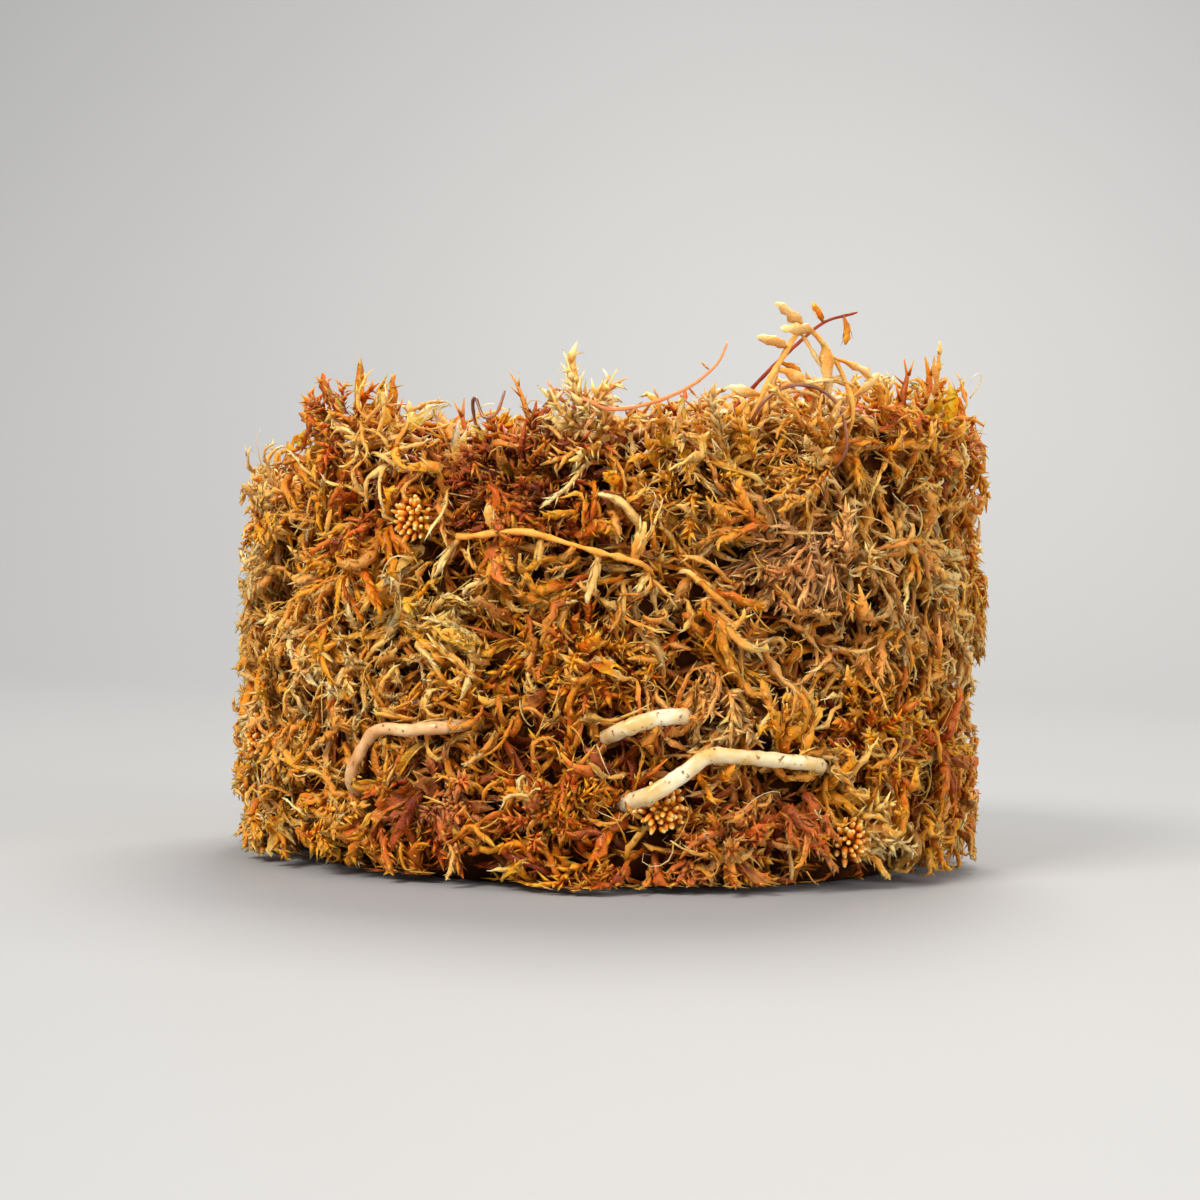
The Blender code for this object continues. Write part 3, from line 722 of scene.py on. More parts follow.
@dataclass
class Bunch:
    """Branches that are gathered into one piece.

    A leaf strays from its branch by up to leaf_hue and leaf_tone. Shade is painted towards a branch's root: its root
    is root_shade_hue further along the ramp, towards red, than its tip and has root_shade_tone of its brightness.
    """

    form: PackedForm
    points: list = field(default_factory=list)
    triangles: list = field(default_factory=list)
    growth: list = field(default_factory=list)
    count: int = 0
    twist: float = 0.8
    leaf_hue: float = 0.10
    leaf_tone: float = 0.3
    root_shade_hue: float = 0.14
    root_shade_tone: float = 0.52

    def gather(self, points: np.ndarray, triangles: np.ndarray, growth: np.ndarray) -> None:
        """Adds a mesh with its looks.

        Args:
            points: its points, in mm.
            triangles: its triangles, as numbers of points from 0 on.
            growth: four numbers for each point, as SphagnumFinish reads them.
        """
        self.points.append(points)
        self.triangles.append(triangles + self.count)
        self.growth.append(growth)
        self.count += len(points)

    def add(
        self, template: Template, paths: Paths, width: np.ndarray, looks: Growth, draw: np.random.Generator
    ) -> None:
        """Bends copies of a template along paths and gathers them.

        Args:
            template: the straight branch.
            paths: a way for each copy.
            width: how much wider than the template each copy is.
            looks: what each copy looks like.
            draw: the seeded source of its twists.
        """
        amount = len(width)
        if amount == 0:
            return
        centre, towards, sideways = paths.sampled()
        centre = self.form.press(centre, BRANCH_SQUEEZE)
        steps = paths.samples - 1
        place = np.clip(template.points[:, 2], 0.0, 1.15) * steps
        low = np.minimum(place.astype(int), steps - 1)
        part = (place - low)[None, :, None]
        twist = draw.uniform(0.0, math.tau, amount)[:, None]
        turn = twist + draw.normal(0.0, self.twist, amount)[:, None] * place[None] / steps
        x = template.points[None, :, 0] * width[:, None]
        y = template.points[None, :, 1] * width[:, None]
        in_bend = (x * np.cos(turn) - y * np.sin(turn))[..., None]
        in_side = (x * np.sin(turn) + y * np.cos(turn))[..., None]

        def between(rows: np.ndarray) -> np.ndarray:
            """The values at the template's points, out of those at the samples."""
            return rows[:, low] * (1.0 - part) + rows[:, low + 1] * part

        points = between(centre) + between(towards) * in_bend + between(sideways) * in_side
        points = self.form.press(points, TIP_SQUEEZE)
        size = len(template.points)
        stray = template.stray[None] - 0.5
        rise = np.clip(template.points[None, :, 2], 0.0, 1.0)
        colour = np.empty((amount, size, 4))
        # Painted shade: the hue moves along the ramp towards red towards each branch's root.
        colour[..., 0] = looks.hue[:, None] + stray * self.leaf_hue + self.root_shade_hue * (1.0 - rise)
        colour[..., 1] = looks.blush[:, None]
        colour[..., 2] = template.leaf[None]
        # Painted shade: the tone darkens towards each branch's root.
        tone = looks.tone[:, None] + stray * self.leaf_tone
        colour[..., 3] = np.clip(tone * (self.root_shade_tone + (1.0 - self.root_shade_tone) * rise), 0.0, 1.0)
        triangles = template.triangles[None] + size * np.arange(amount)[:, None, None]
        self.gather(points.reshape(-1, 3), triangles.reshape(-1, 3), colour.reshape(-1, 4))

    def add_mixed(
        self, families: list, paths: Paths, width: np.ndarray, looks: Growth, draw: np.random.Generator
    ) -> None:
        """Gathers branches that each take a kind, and then a template of that kind.

        Args:
            families: the kinds, each a list of templates.
            paths: a way for each branch.
            width: how much wider than its template each is.
            looks: what each looks like.
            draw: the seeded source.
        """
        kind = draw.integers(0, len(families), len(width))
        place = draw.uniform(size=len(width))
        for k, family in enumerate(families):
            for t, template in enumerate(family):
                rows = np.nonzero((kind == k) & (np.floor(place * len(family)) == t))[0]
                self.add(template, paths.pick(rows), width[rows], looks.pick(rows), draw)

    def piece(self, name: str, material: bpy.types.Material) -> bpy.types.Object:
        """Makes the gathered branches one object.

        Args:
            name: the object's name.
            material: its finish.

        Returns:
            The object.
        """
        points = np.concatenate(self.points) * MM
        triangles = np.concatenate(self.triangles)
        mesh = bpy.data.meshes.new(name)
        mesh.vertices.add(len(points))
        mesh.vertices.foreach_set("co", points.astype(np.float32).ravel())
        mesh.loops.add(triangles.size)
        mesh.loops.foreach_set("vertex_index", triangles.astype(np.int32).ravel())
        mesh.polygons.add(len(triangles))
        mesh.polygons.foreach_set("loop_start", np.arange(0, triangles.size, 3, dtype=np.int32))
        mesh.update(calc_edges=True)
        layer = mesh.attributes.new("growth", "FLOAT_COLOR", "POINT")
        layer.data.foreach_set("color", np.concatenate(self.growth).astype(np.float32).ravel())
        return placed(mesh, material)


@dataclass(frozen=True)
class Patch:
    """A stretch of the moss with a colour of its own: its place, its reach in mm, its hue and its blush."""

    angle: float
    height: float
    reach: float
    hue: float
    blush: float = 0.5


FRONT_PATCHES = (
    Patch(-13, 54, 10, 1.0), Patch(-46, 68, 8, 0.82), Patch(-50, 56, 9, 0.66), Patch(-80, 46, 18, 0.24),
    Patch(-72, 20, 14, 0.30), Patch(-56, 34, 10, 0.36), Patch(-47, 42, 7, 0.62), Patch(-40, 29, 10, 0.12),
    Patch(-27, 37, 7, 0.32, 0.3), Patch(-33, 58, 7, 0.32), Patch(-20, 62, 8, 0.30, 0.6), Patch(-2, 63, 8, 0.34),
    Patch(11, 58, 12, 0.40), Patch(20, 54, 8, 0.28), Patch(8, 45, 9, 0.20), Patch(-12, 41, 8, 0.34),
    Patch(-7, 31, 8, 0.60), Patch(3, 34, 7, 0.55), Patch(14, 36, 6, 0.64), Patch(26, 46, 9, 0.28, 0.85),
    Patch(12, 27, 8, 0.30, 0.7), Patch(25, 30, 9, 0.28), Patch(-10, 20, 8, 0.68), Patch(-25, 10, 9, 0.82),
    Patch(-8, 8, 9, 0.74), Patch(9, 3, 8, 0.70), Patch(-45, 12, 10, 0.46), Patch(21, 8, 8, 0.60, 0.7),
    Patch(34, 12, 8, 0.40), Patch(44, 22, 8, 0.64), Patch(45, 38, 9, 0.16, 0.62), Patch(38, 58, 9, 0.20),
    Patch(50, 62, 9, 0.48), Patch(62, 69, 9, 0.64), Patch(60, 42, 9, 0.18), Patch(66, 20, 10, 0.64),
    Patch(76, 56, 10, 0.58),
)

# Spots where shade is painted into the moss's tone, as (angle, height, reach in mm).
SHADE_SPOTS = (
    (-8.0, 40.0, 6.0), (6.0, 37.0, 4.0), (33.0, 36.5, 5.0), (-34.0, 16.0, 6.0), (-2.0, 19.0, 5.0),
    (-17.0, 19.0, 5.0), (-60.0, 7.0, 7.0), (-46.0, 19.0, 5.0), (22.0, 38.0, 3.5), (14.0, 12.0, 4.0),
    (100.0, 14.0, 6.0), (118.0, 36.0, 6.0), (150.0, 18.0, 6.0), (-170.0, 44.0, 6.0), (-128.0, 30.0, 6.0),
    (-95.0, 48.0, 6.0),
)


@dataclass
class ColourMap:
    """Which colours the moss has where, seen from outside.

    Where no patch reaches, the moss has the plain hue. Some branches are older and paler, by old_pale along the ramp,
    and those with a golden hue are brighter.
    """

    form: PackedForm
    seed: int = 12
    side_patches: int = 30
    top_patches: int = 16
    plain_weight: float = 0.12
    plain_hue: float = 0.34
    old_share: float = 0.14
    old_pale: float = 0.22
    golden_hue: float = 0.42

    def __post_init__(self) -> None:
        """Sets the patches' places: those of the front, and a seeded draw for the sides, the back and the top."""
        draw = np.random.default_rng(self.seed)
        wall = self.form.packed_radius
        rows = [(*self.form.point(p.angle, p.height, wall), p.reach, p.hue, p.blush) for p in FRONT_PATCHES]
        for k in range(self.side_patches):
            angle = 92.0 + 176.0 * (k + 0.5) / self.side_patches
            height = 8.0 + 52.0 * ((k * 0.618) % 1.0)
            hue = draw.choice([0.16, 0.28, 0.34, 0.45, 0.56, 0.64, 0.76, 0.88])
            blush = draw.choice([0.5, 0.5, 0.8, 0.2])
            rows.append((*self.form.point(angle, height, wall), draw.uniform(7, 12), hue, blush))
        for k in range(self.top_patches):
            radius = 48.0 * math.sqrt((k + 0.5) / self.top_patches)
            hue = draw.choice([0.2, 0.3, 0.42, 0.5, 0.62, 0.74])
            spot = self.form.point(math.degrees(k * GOLDEN_ANGLE), 66.0, radius)
            rows.append((*spot, draw.uniform(8, 13), hue, draw.choice([0.5, 0.5, 0.75])))
        self.patches = np.array(rows)
        self.shade_spots = np.array([self.form.point(a, h, self.form.core_radius) for a, h, _ in SHADE_SPOTS])
        self.shade_reach = np.array([reach for *_, reach in SHADE_SPOTS])

    def at(self, points: np.ndarray, draw: np.random.Generator) -> Growth:
        """The looks of branches that lie at these points.

        Args:
            points: where they lie, one row for each.
            draw: the seeded source of what differs from branch to branch.

        Returns:
            Their looks.
        """
        amount = len(points)
        away = np.linalg.norm(points[:, None] - self.patches[None, :, :3], axis=2)
        weight = np.exp(-((away / self.patches[None, :, 3]) ** 2)) + 1e-6
        total = weight.sum(axis=1) + self.plain_weight
        hue = ((weight * self.patches[None, :, 4]).sum(axis=1) + self.plain_weight * self.plain_hue) / total
        blush = ((weight * self.patches[None, :, 5]).sum(axis=1) + self.plain_weight * 0.5) / total
        hue = hue + draw.normal(0.0, 0.075, amount) - self.old_pale * (draw.uniform(size=amount) < self.old_share)
        blush = blush + draw.normal(0.0, 0.06, amount)
        # Painted shade: near each shade spot the tone is darkened, to as little as 0.3 of itself.
        inside = np.linalg.norm(points[:, None] - self.shade_spots[None], axis=2) / self.shade_reach[None]
        dark = 1.0 - 0.7 * np.exp(-(inside.min(axis=1) ** 4))
        golden = 0.35 * np.exp(-(((hue - self.golden_hue) / 0.09) ** 2))
        tone = np.clip(draw.uniform(0.45, 1.0, amount) + golden, 0.0, 1.0) * dark
        return Growth(np.clip(hue, 0.02, 0.98), np.clip(blush, 0.0, 1.0), tone)


class Kind(Enum):
    """The kinds of branch that the clump has."""

    STRAP = "strap"
    MAT = "mat"
    FLAKE = "flake"
    CURL = "curl"
    STARRY = "starry"
    SPRAY = "spray"
    THREAD = "thread"


def branch_templates() -> dict[Kind, list[Template]]:
    """Builds the straight branches, in so many variants that only the plainest repeat hundreds of times.

    Returns:
        The variants of each kind.
    """
    strap = dict(length=9.5, stalk=1.08, flat=0.55, leaves=14, leaf_length=1.65, leaf_width=0.95, opening=20.0,
                 fray=2.2, rough=0.34)
    mat = dict(length=9.0, stalk=0.95, flat=0.6, leaves=7, leaf_length=2.3, leaf_width=0.9, opening=28.0)
    curl = dict(length=10.0, stalk=0.66, flat=0.6, leaves=8, leaf_length=1.5, leaf_width=0.55, opening=27.0, rough=0.34)
    starry = dict(length=6.0, stalk=0.7, leaves=17, leaf_length=2.0, leaf_width=0.95, opening=30.0, fray=1.5,
                  recurve=0.4)
    spray = dict(length=8.5, stalk=0.5, leaves=15, leaf_length=3.0, leaf_width=0.5, opening=22.0, fray=1.4)
    return {
        Kind.STRAP: [BranchForm(**strap, sides=5, rings=7, seed=s).template() for s in range(1, 29)],
        Kind.MAT: [BranchForm(**mat, sides=3, rings=4, seed=s).template() for s in range(15, 21)],
        Kind.FLAKE: [FlakeForm(length=4.5 + 0.4 * s, width=1.4 + 0.15 * s, seed=s).template() for s in range(1, 6)],
        Kind.CURL: [BranchForm(**curl, sides=4, rings=9, seed=s).template() for s in range(30, 54)],
        Kind.STARRY: [BranchForm(**starry, sides=4, rings=4, blade=True, seed=s).template() for s in range(40, 46)],
        Kind.SPRAY: [BranchForm(**spray, sides=4, rings=5, seed=s).template() for s in (11, 12, 13)],
        Kind.THREAD: [ThreadForm().template()],
    }


# What grows in a cushion: its kinds of branch, and how strongly they turn and hook, in radians.
Mix = tuple[tuple[Kind, ...], float, float]
MIXES: tuple[Mix, ...] = (
    ((Kind.STRAP,), 0.8, 0.8),
    ((Kind.STRAP, Kind.STRAP, Kind.FLAKE), 0.7, 0.6),
    ((Kind.STRAP, Kind.CURL), 1.2, 1.4),
    ((Kind.CURL,), 2.4, 2.2),
    ((Kind.CURL, Kind.STRAP), 1.8, 1.6),
    ((Kind.STARRY, Kind.STRAP), 0.6, 0.4),
)


@dataclass
class MossMass:
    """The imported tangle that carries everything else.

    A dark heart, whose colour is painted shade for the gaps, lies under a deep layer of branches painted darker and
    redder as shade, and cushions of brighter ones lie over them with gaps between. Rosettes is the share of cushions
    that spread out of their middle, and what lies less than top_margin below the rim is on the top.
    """

    form: PackedForm
    colours: ColourMap
    templates: dict
    sectors: int = 4
    names: tuple[str, ...] = ("back", "left", "front", "right", "top")
    heart_inset: float = 0.8
    heart_sunk: float = 4.8
    rosettes: float = 0.25
    top_margin: float = 4.0
    top_radius: float = 53.0
    deep_branches: int = 3100
    side_cushions: int = 330
    top_cushions: int = 92
    pale_curls: int = 1080
    threads: int = 520
    seed: int = 5

    def heart(self, material: bpy.types.Material) -> bpy.types.Object:
        """Builds the heart, which shows only in the gaps: a lumpy drum whose dark colour is painted shade.

        Args:
            material: its finish.

        Returns:
            The object.
        """
        bm = bmesh.new()
        add_rod(bm, 1.0, 72, 18)
        caps = [f for f in bm.faces if abs(f.normal.z) > 0.9]
        for _ in range(12):
            bmesh.ops.inset_region(bm, faces=caps, thickness=0.078, use_even_offset=True)
        bmesh.ops.poke(bm, faces=caps)
        wall = self.form.core_radius - self.heart_inset - self.form.foot_radius
        for vert in bm.verts:
            turn = math.atan2(vert.co.x, -vert.co.y)
            on_wall = math.hypot(vert.co.x, vert.co.y) > 0.98
            share = vert.co.z
            near_foot = min(1.0, share / 0.06) ** 0.5
            radius = self.form.foot_radius + wall * near_foot * (0.5 if share > 0.99 else 1.0)
            height = share * (self.form.rim(turn) - self.heart_sunk)
            spot = Vector((vert.co.x * radius, vert.co.y * radius, height))
            lump = sum(noise.noise(spot * scale) * rise for scale, rise in ((0.22, 2.0), (0.6, 1.4), (1.7, 0.7)))
            out = Vector((vert.co.x, vert.co.y, 0.0)) if on_wall and share > 0.01 else Vector((0.0, 0.0, share))
            vert.co = (spot + out * lump) * MM
            vert.co.z = max(vert.co.z, 0.2 * MM)
        bmesh.ops.recalc_face_normals(bm, faces=bm.faces)
        return closed(bm, "moss_heart", material)

    def lay(
        self, draw: np.random.Generator, root: np.ndarray, normal: np.ndarray, rise: tuple, length: tuple, bow: float
    ) -> Paths:
        """Ways that leave the surface at a random slope and bend back to it.

        Args:
            draw: the seeded source.
            root: where each starts.
            normal: the way out of the surface there.
            rise: the least and most that a way climbs, as a share of its run along the surface.
            length: the shortest and the longest.
            bow: how strongly a way bends, in radians.

        Returns:
            The ways.
        """
        amount = len(root)
        aside = unit(np.cross(normal, draw.normal(size=(amount, 3))))
        climb = draw.uniform(*rise, amount)[:, None]
        sideways = np.cross(normal, aside)
        bend = -normal * draw.uniform(0.2, 1.0, amount)[:, None] + sideways * draw.normal(0.0, 0.9, amount)[:, None]
        hooked = draw.uniform(size=amount) < 0.5
        return Paths(
            root,
            aside + normal * climb,
            bend,
            draw.uniform(*length, amount),
            np.abs(draw.normal(bow, 0.45 * bow, amount)),
            draw.uniform(0.0, 1.8, amount) * hooked,
            draw.uniform(0.05, 0.4, amount),
        )

    def spots(
        self, draw: np.random.Generator, amount: int, each: int, stray: float, side: float, rise: tuple, stand: float
    ) -> tuple[np.ndarray, np.ndarray]:
        """Even spots in a spiral that climbs the side and then runs in over the top.

        Args:
            draw: the seeded source.
            amount: how many spots there are.
            each: how many branches start at each.
            stray: how far a branch's angle strays from its spot's, in degrees.
            side: the share of the spots that lie on the side.
            rise: how high over the foot the side's spots begin, and how far under the rim those of the top lie.
            stand: how far out of the core the side's spots lie.

        Returns:
            Where each branch starts, and the way out of the surface there.
        """
        share = np.repeat((np.arange(amount) + 0.5) / amount, each)
        angle = np.degrees(np.repeat(np.arange(amount), each) * GOLDEN_ANGLE)
        angle = angle + draw.normal(0.0, stray, amount * each)
        rim = self.form.rim(np.radians(angle))
        on_top = share > side
        height = np.where(on_top, rim - rise[1], rise[0] + share / side * (rim - 5.0))
        core = self.form.core_radius
        inwards = np.sqrt(np.clip((share - side) / (1.0 - side), 0.0, 1.0))
        radius = np.where(on_top, core * inwards, core + stand)
        return self.form.point(angle, height, radius), np.where(on_top[:, None], UP, self.form.outward(angle))

    def deep_layer(self, draw: np.random.Generator) -> tuple[Paths, Growth]:
        """The branches that lie close over the heart, on the side and the top, painted darker and redder as shade.

        Args:
            draw: the seeded source.

        Returns:
            Their ways and their looks.
        """
        root, normal = self.spots(draw, self.deep_branches, 1, 1.5, 0.66, (1.5, 5.0), -self.heart_inset)
        root = root + normal * draw.uniform(0.0, 2.5, len(root))[:, None]
        looks = self.colours.at(root, draw)
        # Painted shade: branches deep in the moss are darkened, and their hue moves towards red.
        looks.tone *= draw.uniform(0.15, 0.7, len(root))
        looks.hue = np.clip(looks.hue + 0.10, 0.0, 1.0)
        return self.lay(draw, root, normal, (-0.1, 0.4), (8.0, 13.0), 0.8), looks

    def cushion(
        self, draw: np.random.Generator, spot: np.ndarray, normal: np.ndarray, mix: Mix
    ) -> tuple[Paths, Growth]:
        """One cushion: a rosette that spreads from its middle, or a bundle that runs one way.

        Args:
            draw: the seeded source.
            spot: its middle.
            normal: the way out of the surface there.
            mix: what grows in it.

        Returns:
            The ways and the looks of its branches.
        """
        amount = draw.integers(8, 14)
        aside = unit(np.cross(normal[None], draw.normal(size=(amount, 3))))
        if draw.uniform() < self.rosettes:
            start = spot + aside * draw.uniform(0.2, 3.6, amount)[:, None] - normal * 1.0
            heading = aside + normal * draw.uniform(0.15, 1.5, amount)[:, None]
            bend = -normal[None] + 1.2 * draw.normal(0.0, 0.5, (amount, 3))
        else:
            way = unit(np.cross(normal, draw.normal(size=3)))
            if abs(normal[2]) < 0.5:
                # Bundles hang at the sides and the back. At the front they run across, as in the photograph.
                hangs = abs(self.form.angle_of(spot)) > math.radians(35)
                way = unit(way + (-UP if hangs else 0.7 * np.cross(normal, UP)))
            start = spot - way * draw.uniform(1.0, 5.0, amount)[:, None]
            start = start + aside * draw.uniform(0.3, 3.6, amount)[:, None]
            start = start - normal * draw.uniform(0.0, 2.0, amount)[:, None]
            heading = way + normal * draw.uniform(0.0, 0.8, amount)[:, None] + draw.normal(0.0, 0.28, (amount, 3))
            bend = -normal[None] * 0.7 + draw.normal(0.0, 0.8, (amount, 3))
        _, turn, hook = mix
        paths = Paths(
            start, heading, bend, draw.uniform(5.5, 11.5, amount), turn * draw.uniform(0.4, 1.6, amount),
            hook * draw.uniform(0.0, 1.5, amount), draw.uniform(0.1, 0.6, amount),
        )
        looks = self.colours.at(np.repeat(spot[None], amount, axis=0), draw)
        pale = 0.22 if mix[0] == (Kind.CURL,) else 0.0
        looks.hue = np.clip(looks.hue + draw.normal(0.0, 0.08) - pale, 0.0, 1.0)
        looks.tone = np.clip(looks.tone * draw.uniform(0.75, 1.15), 0.0, 1.0)
        return paths, looks

    def cushions(self, draw: np.random.Generator, bunches: list) -> None:
        """Sets cushions over the side, the top's edge and the top.

        Args:
            draw: the seeded source.
            bunches: the bunch of each sector, and the top's.
        """
        for k in range(self.side_cushions + self.top_cushions):
            on_top = k >= self.side_cushions
            angle = math.degrees(k * GOLDEN_ANGLE) + draw.uniform(-3.0, 3.0)
            rim = self.form.rim(math.radians(angle))
            out = self.form.outward(angle)
            if on_top:
                inwards = math.sqrt((k - self.side_cushions + 0.5) / self.top_cushions)
                normal = unit(out * max(0.0, inwards - 0.55) + UP)
                spot = out * self.top_radius * inwards + UP * (rim - draw.uniform(3.0, 5.0))
            else:
                normal = out
                height = 3.0 + (k + 0.5) / self.side_cushions * (rim - 6.0) + draw.uniform(-1.5, 1.5)
                spot = out * (self.form.core_radius + draw.uniform(0.5, 6.5)) + UP * height
            mix = MIXES[draw.integers(0, len(MIXES))]
            paths, looks = self.cushion(draw, spot, normal, mix)
            bunch = bunches[self.sectors if on_top else self.sector_of(angle)]
            families = [self.templates[kind] for kind in mix[0]]
            rows = self.in_sight(paths)
            width = draw.uniform(0.75, 1.3, len(rows))
            bunch.add_mixed(families, paths.pick(rows), width, looks.pick(rows), draw)

    def in_sight(self, paths: Paths) -> np.ndarray:
        """Finds the ways that don't lie over a head of buds.

        Args:
            paths: the ways.

        Returns:
            The numbers of those that are kept.
        """
        middle = paths.start + unit(paths.heading) * 3.5
        away = [np.linalg.norm(middle - np.array(head.centre), axis=1) - head.wide * 0.4 for head in BUD_HEADS]
        return np.nonzero(np.min(away, axis=0) > 1.8)[0]

    def sector_of(self, angle: np.ndarray) -> np.ndarray:
        """The sector in which each angle in degrees lies: 0 behind, then the left, the front and the right."""
        return np.asarray((angle / 360.0 + 0.5) * self.sectors + 0.5).astype(int) % self.sectors

    def pieces(self, material: bpy.types.Material) -> list[bpy.types.Object]:
        """Builds the branches, in one piece for each sector and one for the top.

        Args:
            material: their finish.

        Returns:
            The pieces.
        """
        draw = np.random.default_rng(self.seed)
        bunches = [Bunch(self.form) for _ in self.names]
        self.deal(bunches, Kind.MAT, *self.deep_layer(draw), draw)
        self.cushions(draw, bunches)
        self.deal(bunches, Kind.CURL, *self.pale_layer(draw), draw)
        self.deal(bunches, Kind.THREAD, *self.thread_layer(draw), draw)
        return [bunch.piece(f"moss_mass_{name}", material) for bunch, name in zip(bunches, self.names)]

    def deal(self, bunches: list, kind: Kind, paths: Paths, looks: Growth, draw: np.random.Generator) -> None:
        """Adds each branch to the bunch of its sector, or to the top's.

        Args:
            bunches: the bunch of each sector, and the top's.
            kind: the kind of branch.
            paths: their ways.
            looks: their looks.
            draw: the seeded source.
        """
        rows = self.in_sight(paths)
        paths, looks = paths.pick(rows), looks.pick(rows)
        middle = paths.start + unit(paths.heading) * 4.0
        turn = self.form.angle_of(middle)
        on_top = middle[:, 2] > self.form.rim(turn) - self.top_margin
        sector = np.where(on_top, self.sectors, self.sector_of(np.degrees(turn)))
        width = draw.uniform(0.75, 1.25, len(sector))
        for s, bunch in enumerate(bunches):
            rows = np.nonzero(sector == s)[0]
            bunch.add_mixed([self.templates[kind]], paths.pick(rows), width[rows], looks.pick(rows), draw)

    def pale_layer(self, draw: np.random.Generator) -> tuple[Paths, Growth]:
        """Pale old branches that lie curled over the others, two or three together.

        Args:
            draw: the seeded source.

        Returns:
            Their ways and their looks.
        """
        root, normal = self.spots(draw, self.pale_curls // 3, 3, 2.5, 0.82, (4.0, 2.5), 3.2)
        root[:, 2] += draw.normal(0.0, 1.5, len(root))
        paths = self.lay(draw, root, normal, (0.2, 1.3), (5.0, 11.0), 1.8)
        looks = self.colours.at(root, draw)
        looks.hue = draw.uniform(0.0, 0.22, len(root)) + 0.6 * np.maximum(looks.hue - 0.45, 0.0)
        looks.tone = np.clip(looks.tone + 0.12, 0.0, 1.0)
        return paths, looks

    def thread_layer(self, draw: np.random.Generator) -> tuple[Paths, Growth]:
        """Fine pale threads that curl over the surface.

        Args:
            draw: the seeded source.

        Returns:
            Their ways and their looks.
        """
        amount = self.threads
        angle = draw.uniform(-180.0, 180.0, amount)
        height = 3.0 + draw.uniform(0.0, 1.0, amount) * (self.form.rim(np.radians(angle)) - 2.0)
        normal = self.form.outward(angle)
        root = self.form.point(angle, height, self.form.core_radius + 4.5)
        paths = self.lay(draw, root, normal, (0.2, 1.0), (3.5, 11.0), 1.8)
        paths.hook = draw.uniform(0.5, 4.0, amount)
        looks = Growth(draw.uniform(0.0, 0.35, amount), np.full(amount, 0.5), draw.uniform(0.7, 1.0, amount))
        return paths, looks


def spiral(amount: int) -> tuple[np.ndarray, np.ndarray]:
    """Even places over a disc, in columns: how far out each is, from 0 to 1, and its angle in radians."""
    steps = np.arange(amount)[:, None]
    return np.sqrt((steps + 0.5) / amount), steps * GOLDEN_ANGLE


@dataclass
class LeafyTuft:
    """A tuft on the clump's side or top: branches of one colour that spread all round out of one spot."""

    name: str
    finish: Finish
    centre: tuple[float, float, float]
    wide: float
    tall: float
    branches: int
    hue: float
    blush: float = 0.5
    kinds: tuple = (Kind.STARRY, Kind.STRAP)
    length: tuple[float, float] = (4.5, 8.5)
    tone: tuple[float, float] = (0.4, 1.0)
    lean: tuple[float, float] = (0.0, 0.0)
    seed: int = 3

    def piece(self, form: PackedForm, templates: dict, material: bpy.types.Material) -> bpy.types.Object:
        """Builds the tuft.

        Args:
            form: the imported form.
            templates: the branches of each kind.
            material: the finish.

        Returns:
            The object, which stands for the tuft's node.
        """
        draw = np.random.default_rng(self.seed)
        centre = np.array(self.centre)
        on_top = math.hypot(centre[0], centre[1]) < 45.0
        normal = UP if on_top else unit(centre * (1.0 - UP))
        across = np.array([1.0, 0.0, 0.0]) if on_top else np.cross(UP, normal)
        upward = np.cross(normal, across)
        amount = self.branches
        spread, turn = spiral(amount)
        edge = across * np.cos(turn) * self.wide / 2 + upward * np.sin(turn) * self.tall / 2
        lean = across * self.lean[0] + upward * self.lean[1]
        start = centre + edge * spread * 0.62 - normal * (1.5 + 2.0 * spread) - lean * 2.5
        heading = unit(edge) * spread * 1.25 + normal * (1.15 - 0.75 * spread) + draw.normal(0.0, 0.22, (amount, 3))
        heading = heading + lean
        bend = unit(edge) * 0.6 - normal * 0.5 + draw.normal(0.0, 0.6, (amount, 3))
        paths = Paths(
            start, heading, bend, draw.uniform(*self.length, amount), draw.uniform(0.1, 0.9, amount),
            draw.uniform(0.0, 0.9, amount), draw.uniform(0.05, 0.3, amount),
        )
        looks = Growth(
            np.clip(self.hue + draw.normal(0.0, 0.08, amount), 0.02, 1.0),
            np.clip(self.blush + draw.normal(0.0, 0.05, amount), 0.0, 1.0),
            draw.uniform(*self.tone, amount),
        )
        bunch = Bunch(form)
        families = [templates[kind] for kind in self.kinds]
        bunch.add_mixed(families, paths, draw.uniform(0.8, 1.2, amount), looks, draw)
        return dressed(bunch.piece(f"{self.name}_leaves", material), self.finish, self.name)


@dataclass
class BudHead:
    """A round head of tight young buds with pale tips."""

    name: str
    centre: tuple[float, float, float]
    wide: float
    buds: int = 30
    hue: float = 0.68
    seed: int = 2

    def piece(self, form: PackedForm, material: bpy.types.Material) -> bpy.types.Object:
        """Builds the head.

        Args:
            form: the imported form.
            material: the finish.

        Returns:
            The object, which stands for the head's node.
        """
        draw = np.random.default_rng(self.seed)
        centre = np.array(self.centre)
        normal = unit(centre * (1.0 - UP))
        amount = self.buds
        spread, turn = spiral(amount)
        flat = np.cross(UP, normal) * np.cos(turn) + UP * np.sin(turn)
        start = centre + flat * spread * self.wide * 0.36 + normal * (self.wide * 0.22 * (1.0 - spread**2) - 1.3)
        heading = normal * 1.15 + flat * spread * 1.25 + draw.normal(0.0, 0.28, (amount, 3))
        paths = Paths(
            start, heading, flat, draw.uniform(1.2, 2.1, amount), draw.uniform(-0.3, 0.3, amount), np.zeros(amount),
            np.zeros(amount),
        )
        looks = Growth(
            np.clip(self.hue + draw.normal(0.0, 0.05, amount), 0.0, 1.0), np.full(amount, 0.5),
            draw.uniform(0.6, 1.0, amount),
        )
        bunch = Bunch(form)
        bunch.add(BudForm().template(), paths, draw.uniform(0.7, 0.95, amount), looks, draw)
        return dressed(bunch.piece(f"{self.name}_buds", material), Finish.BUD, self.name)


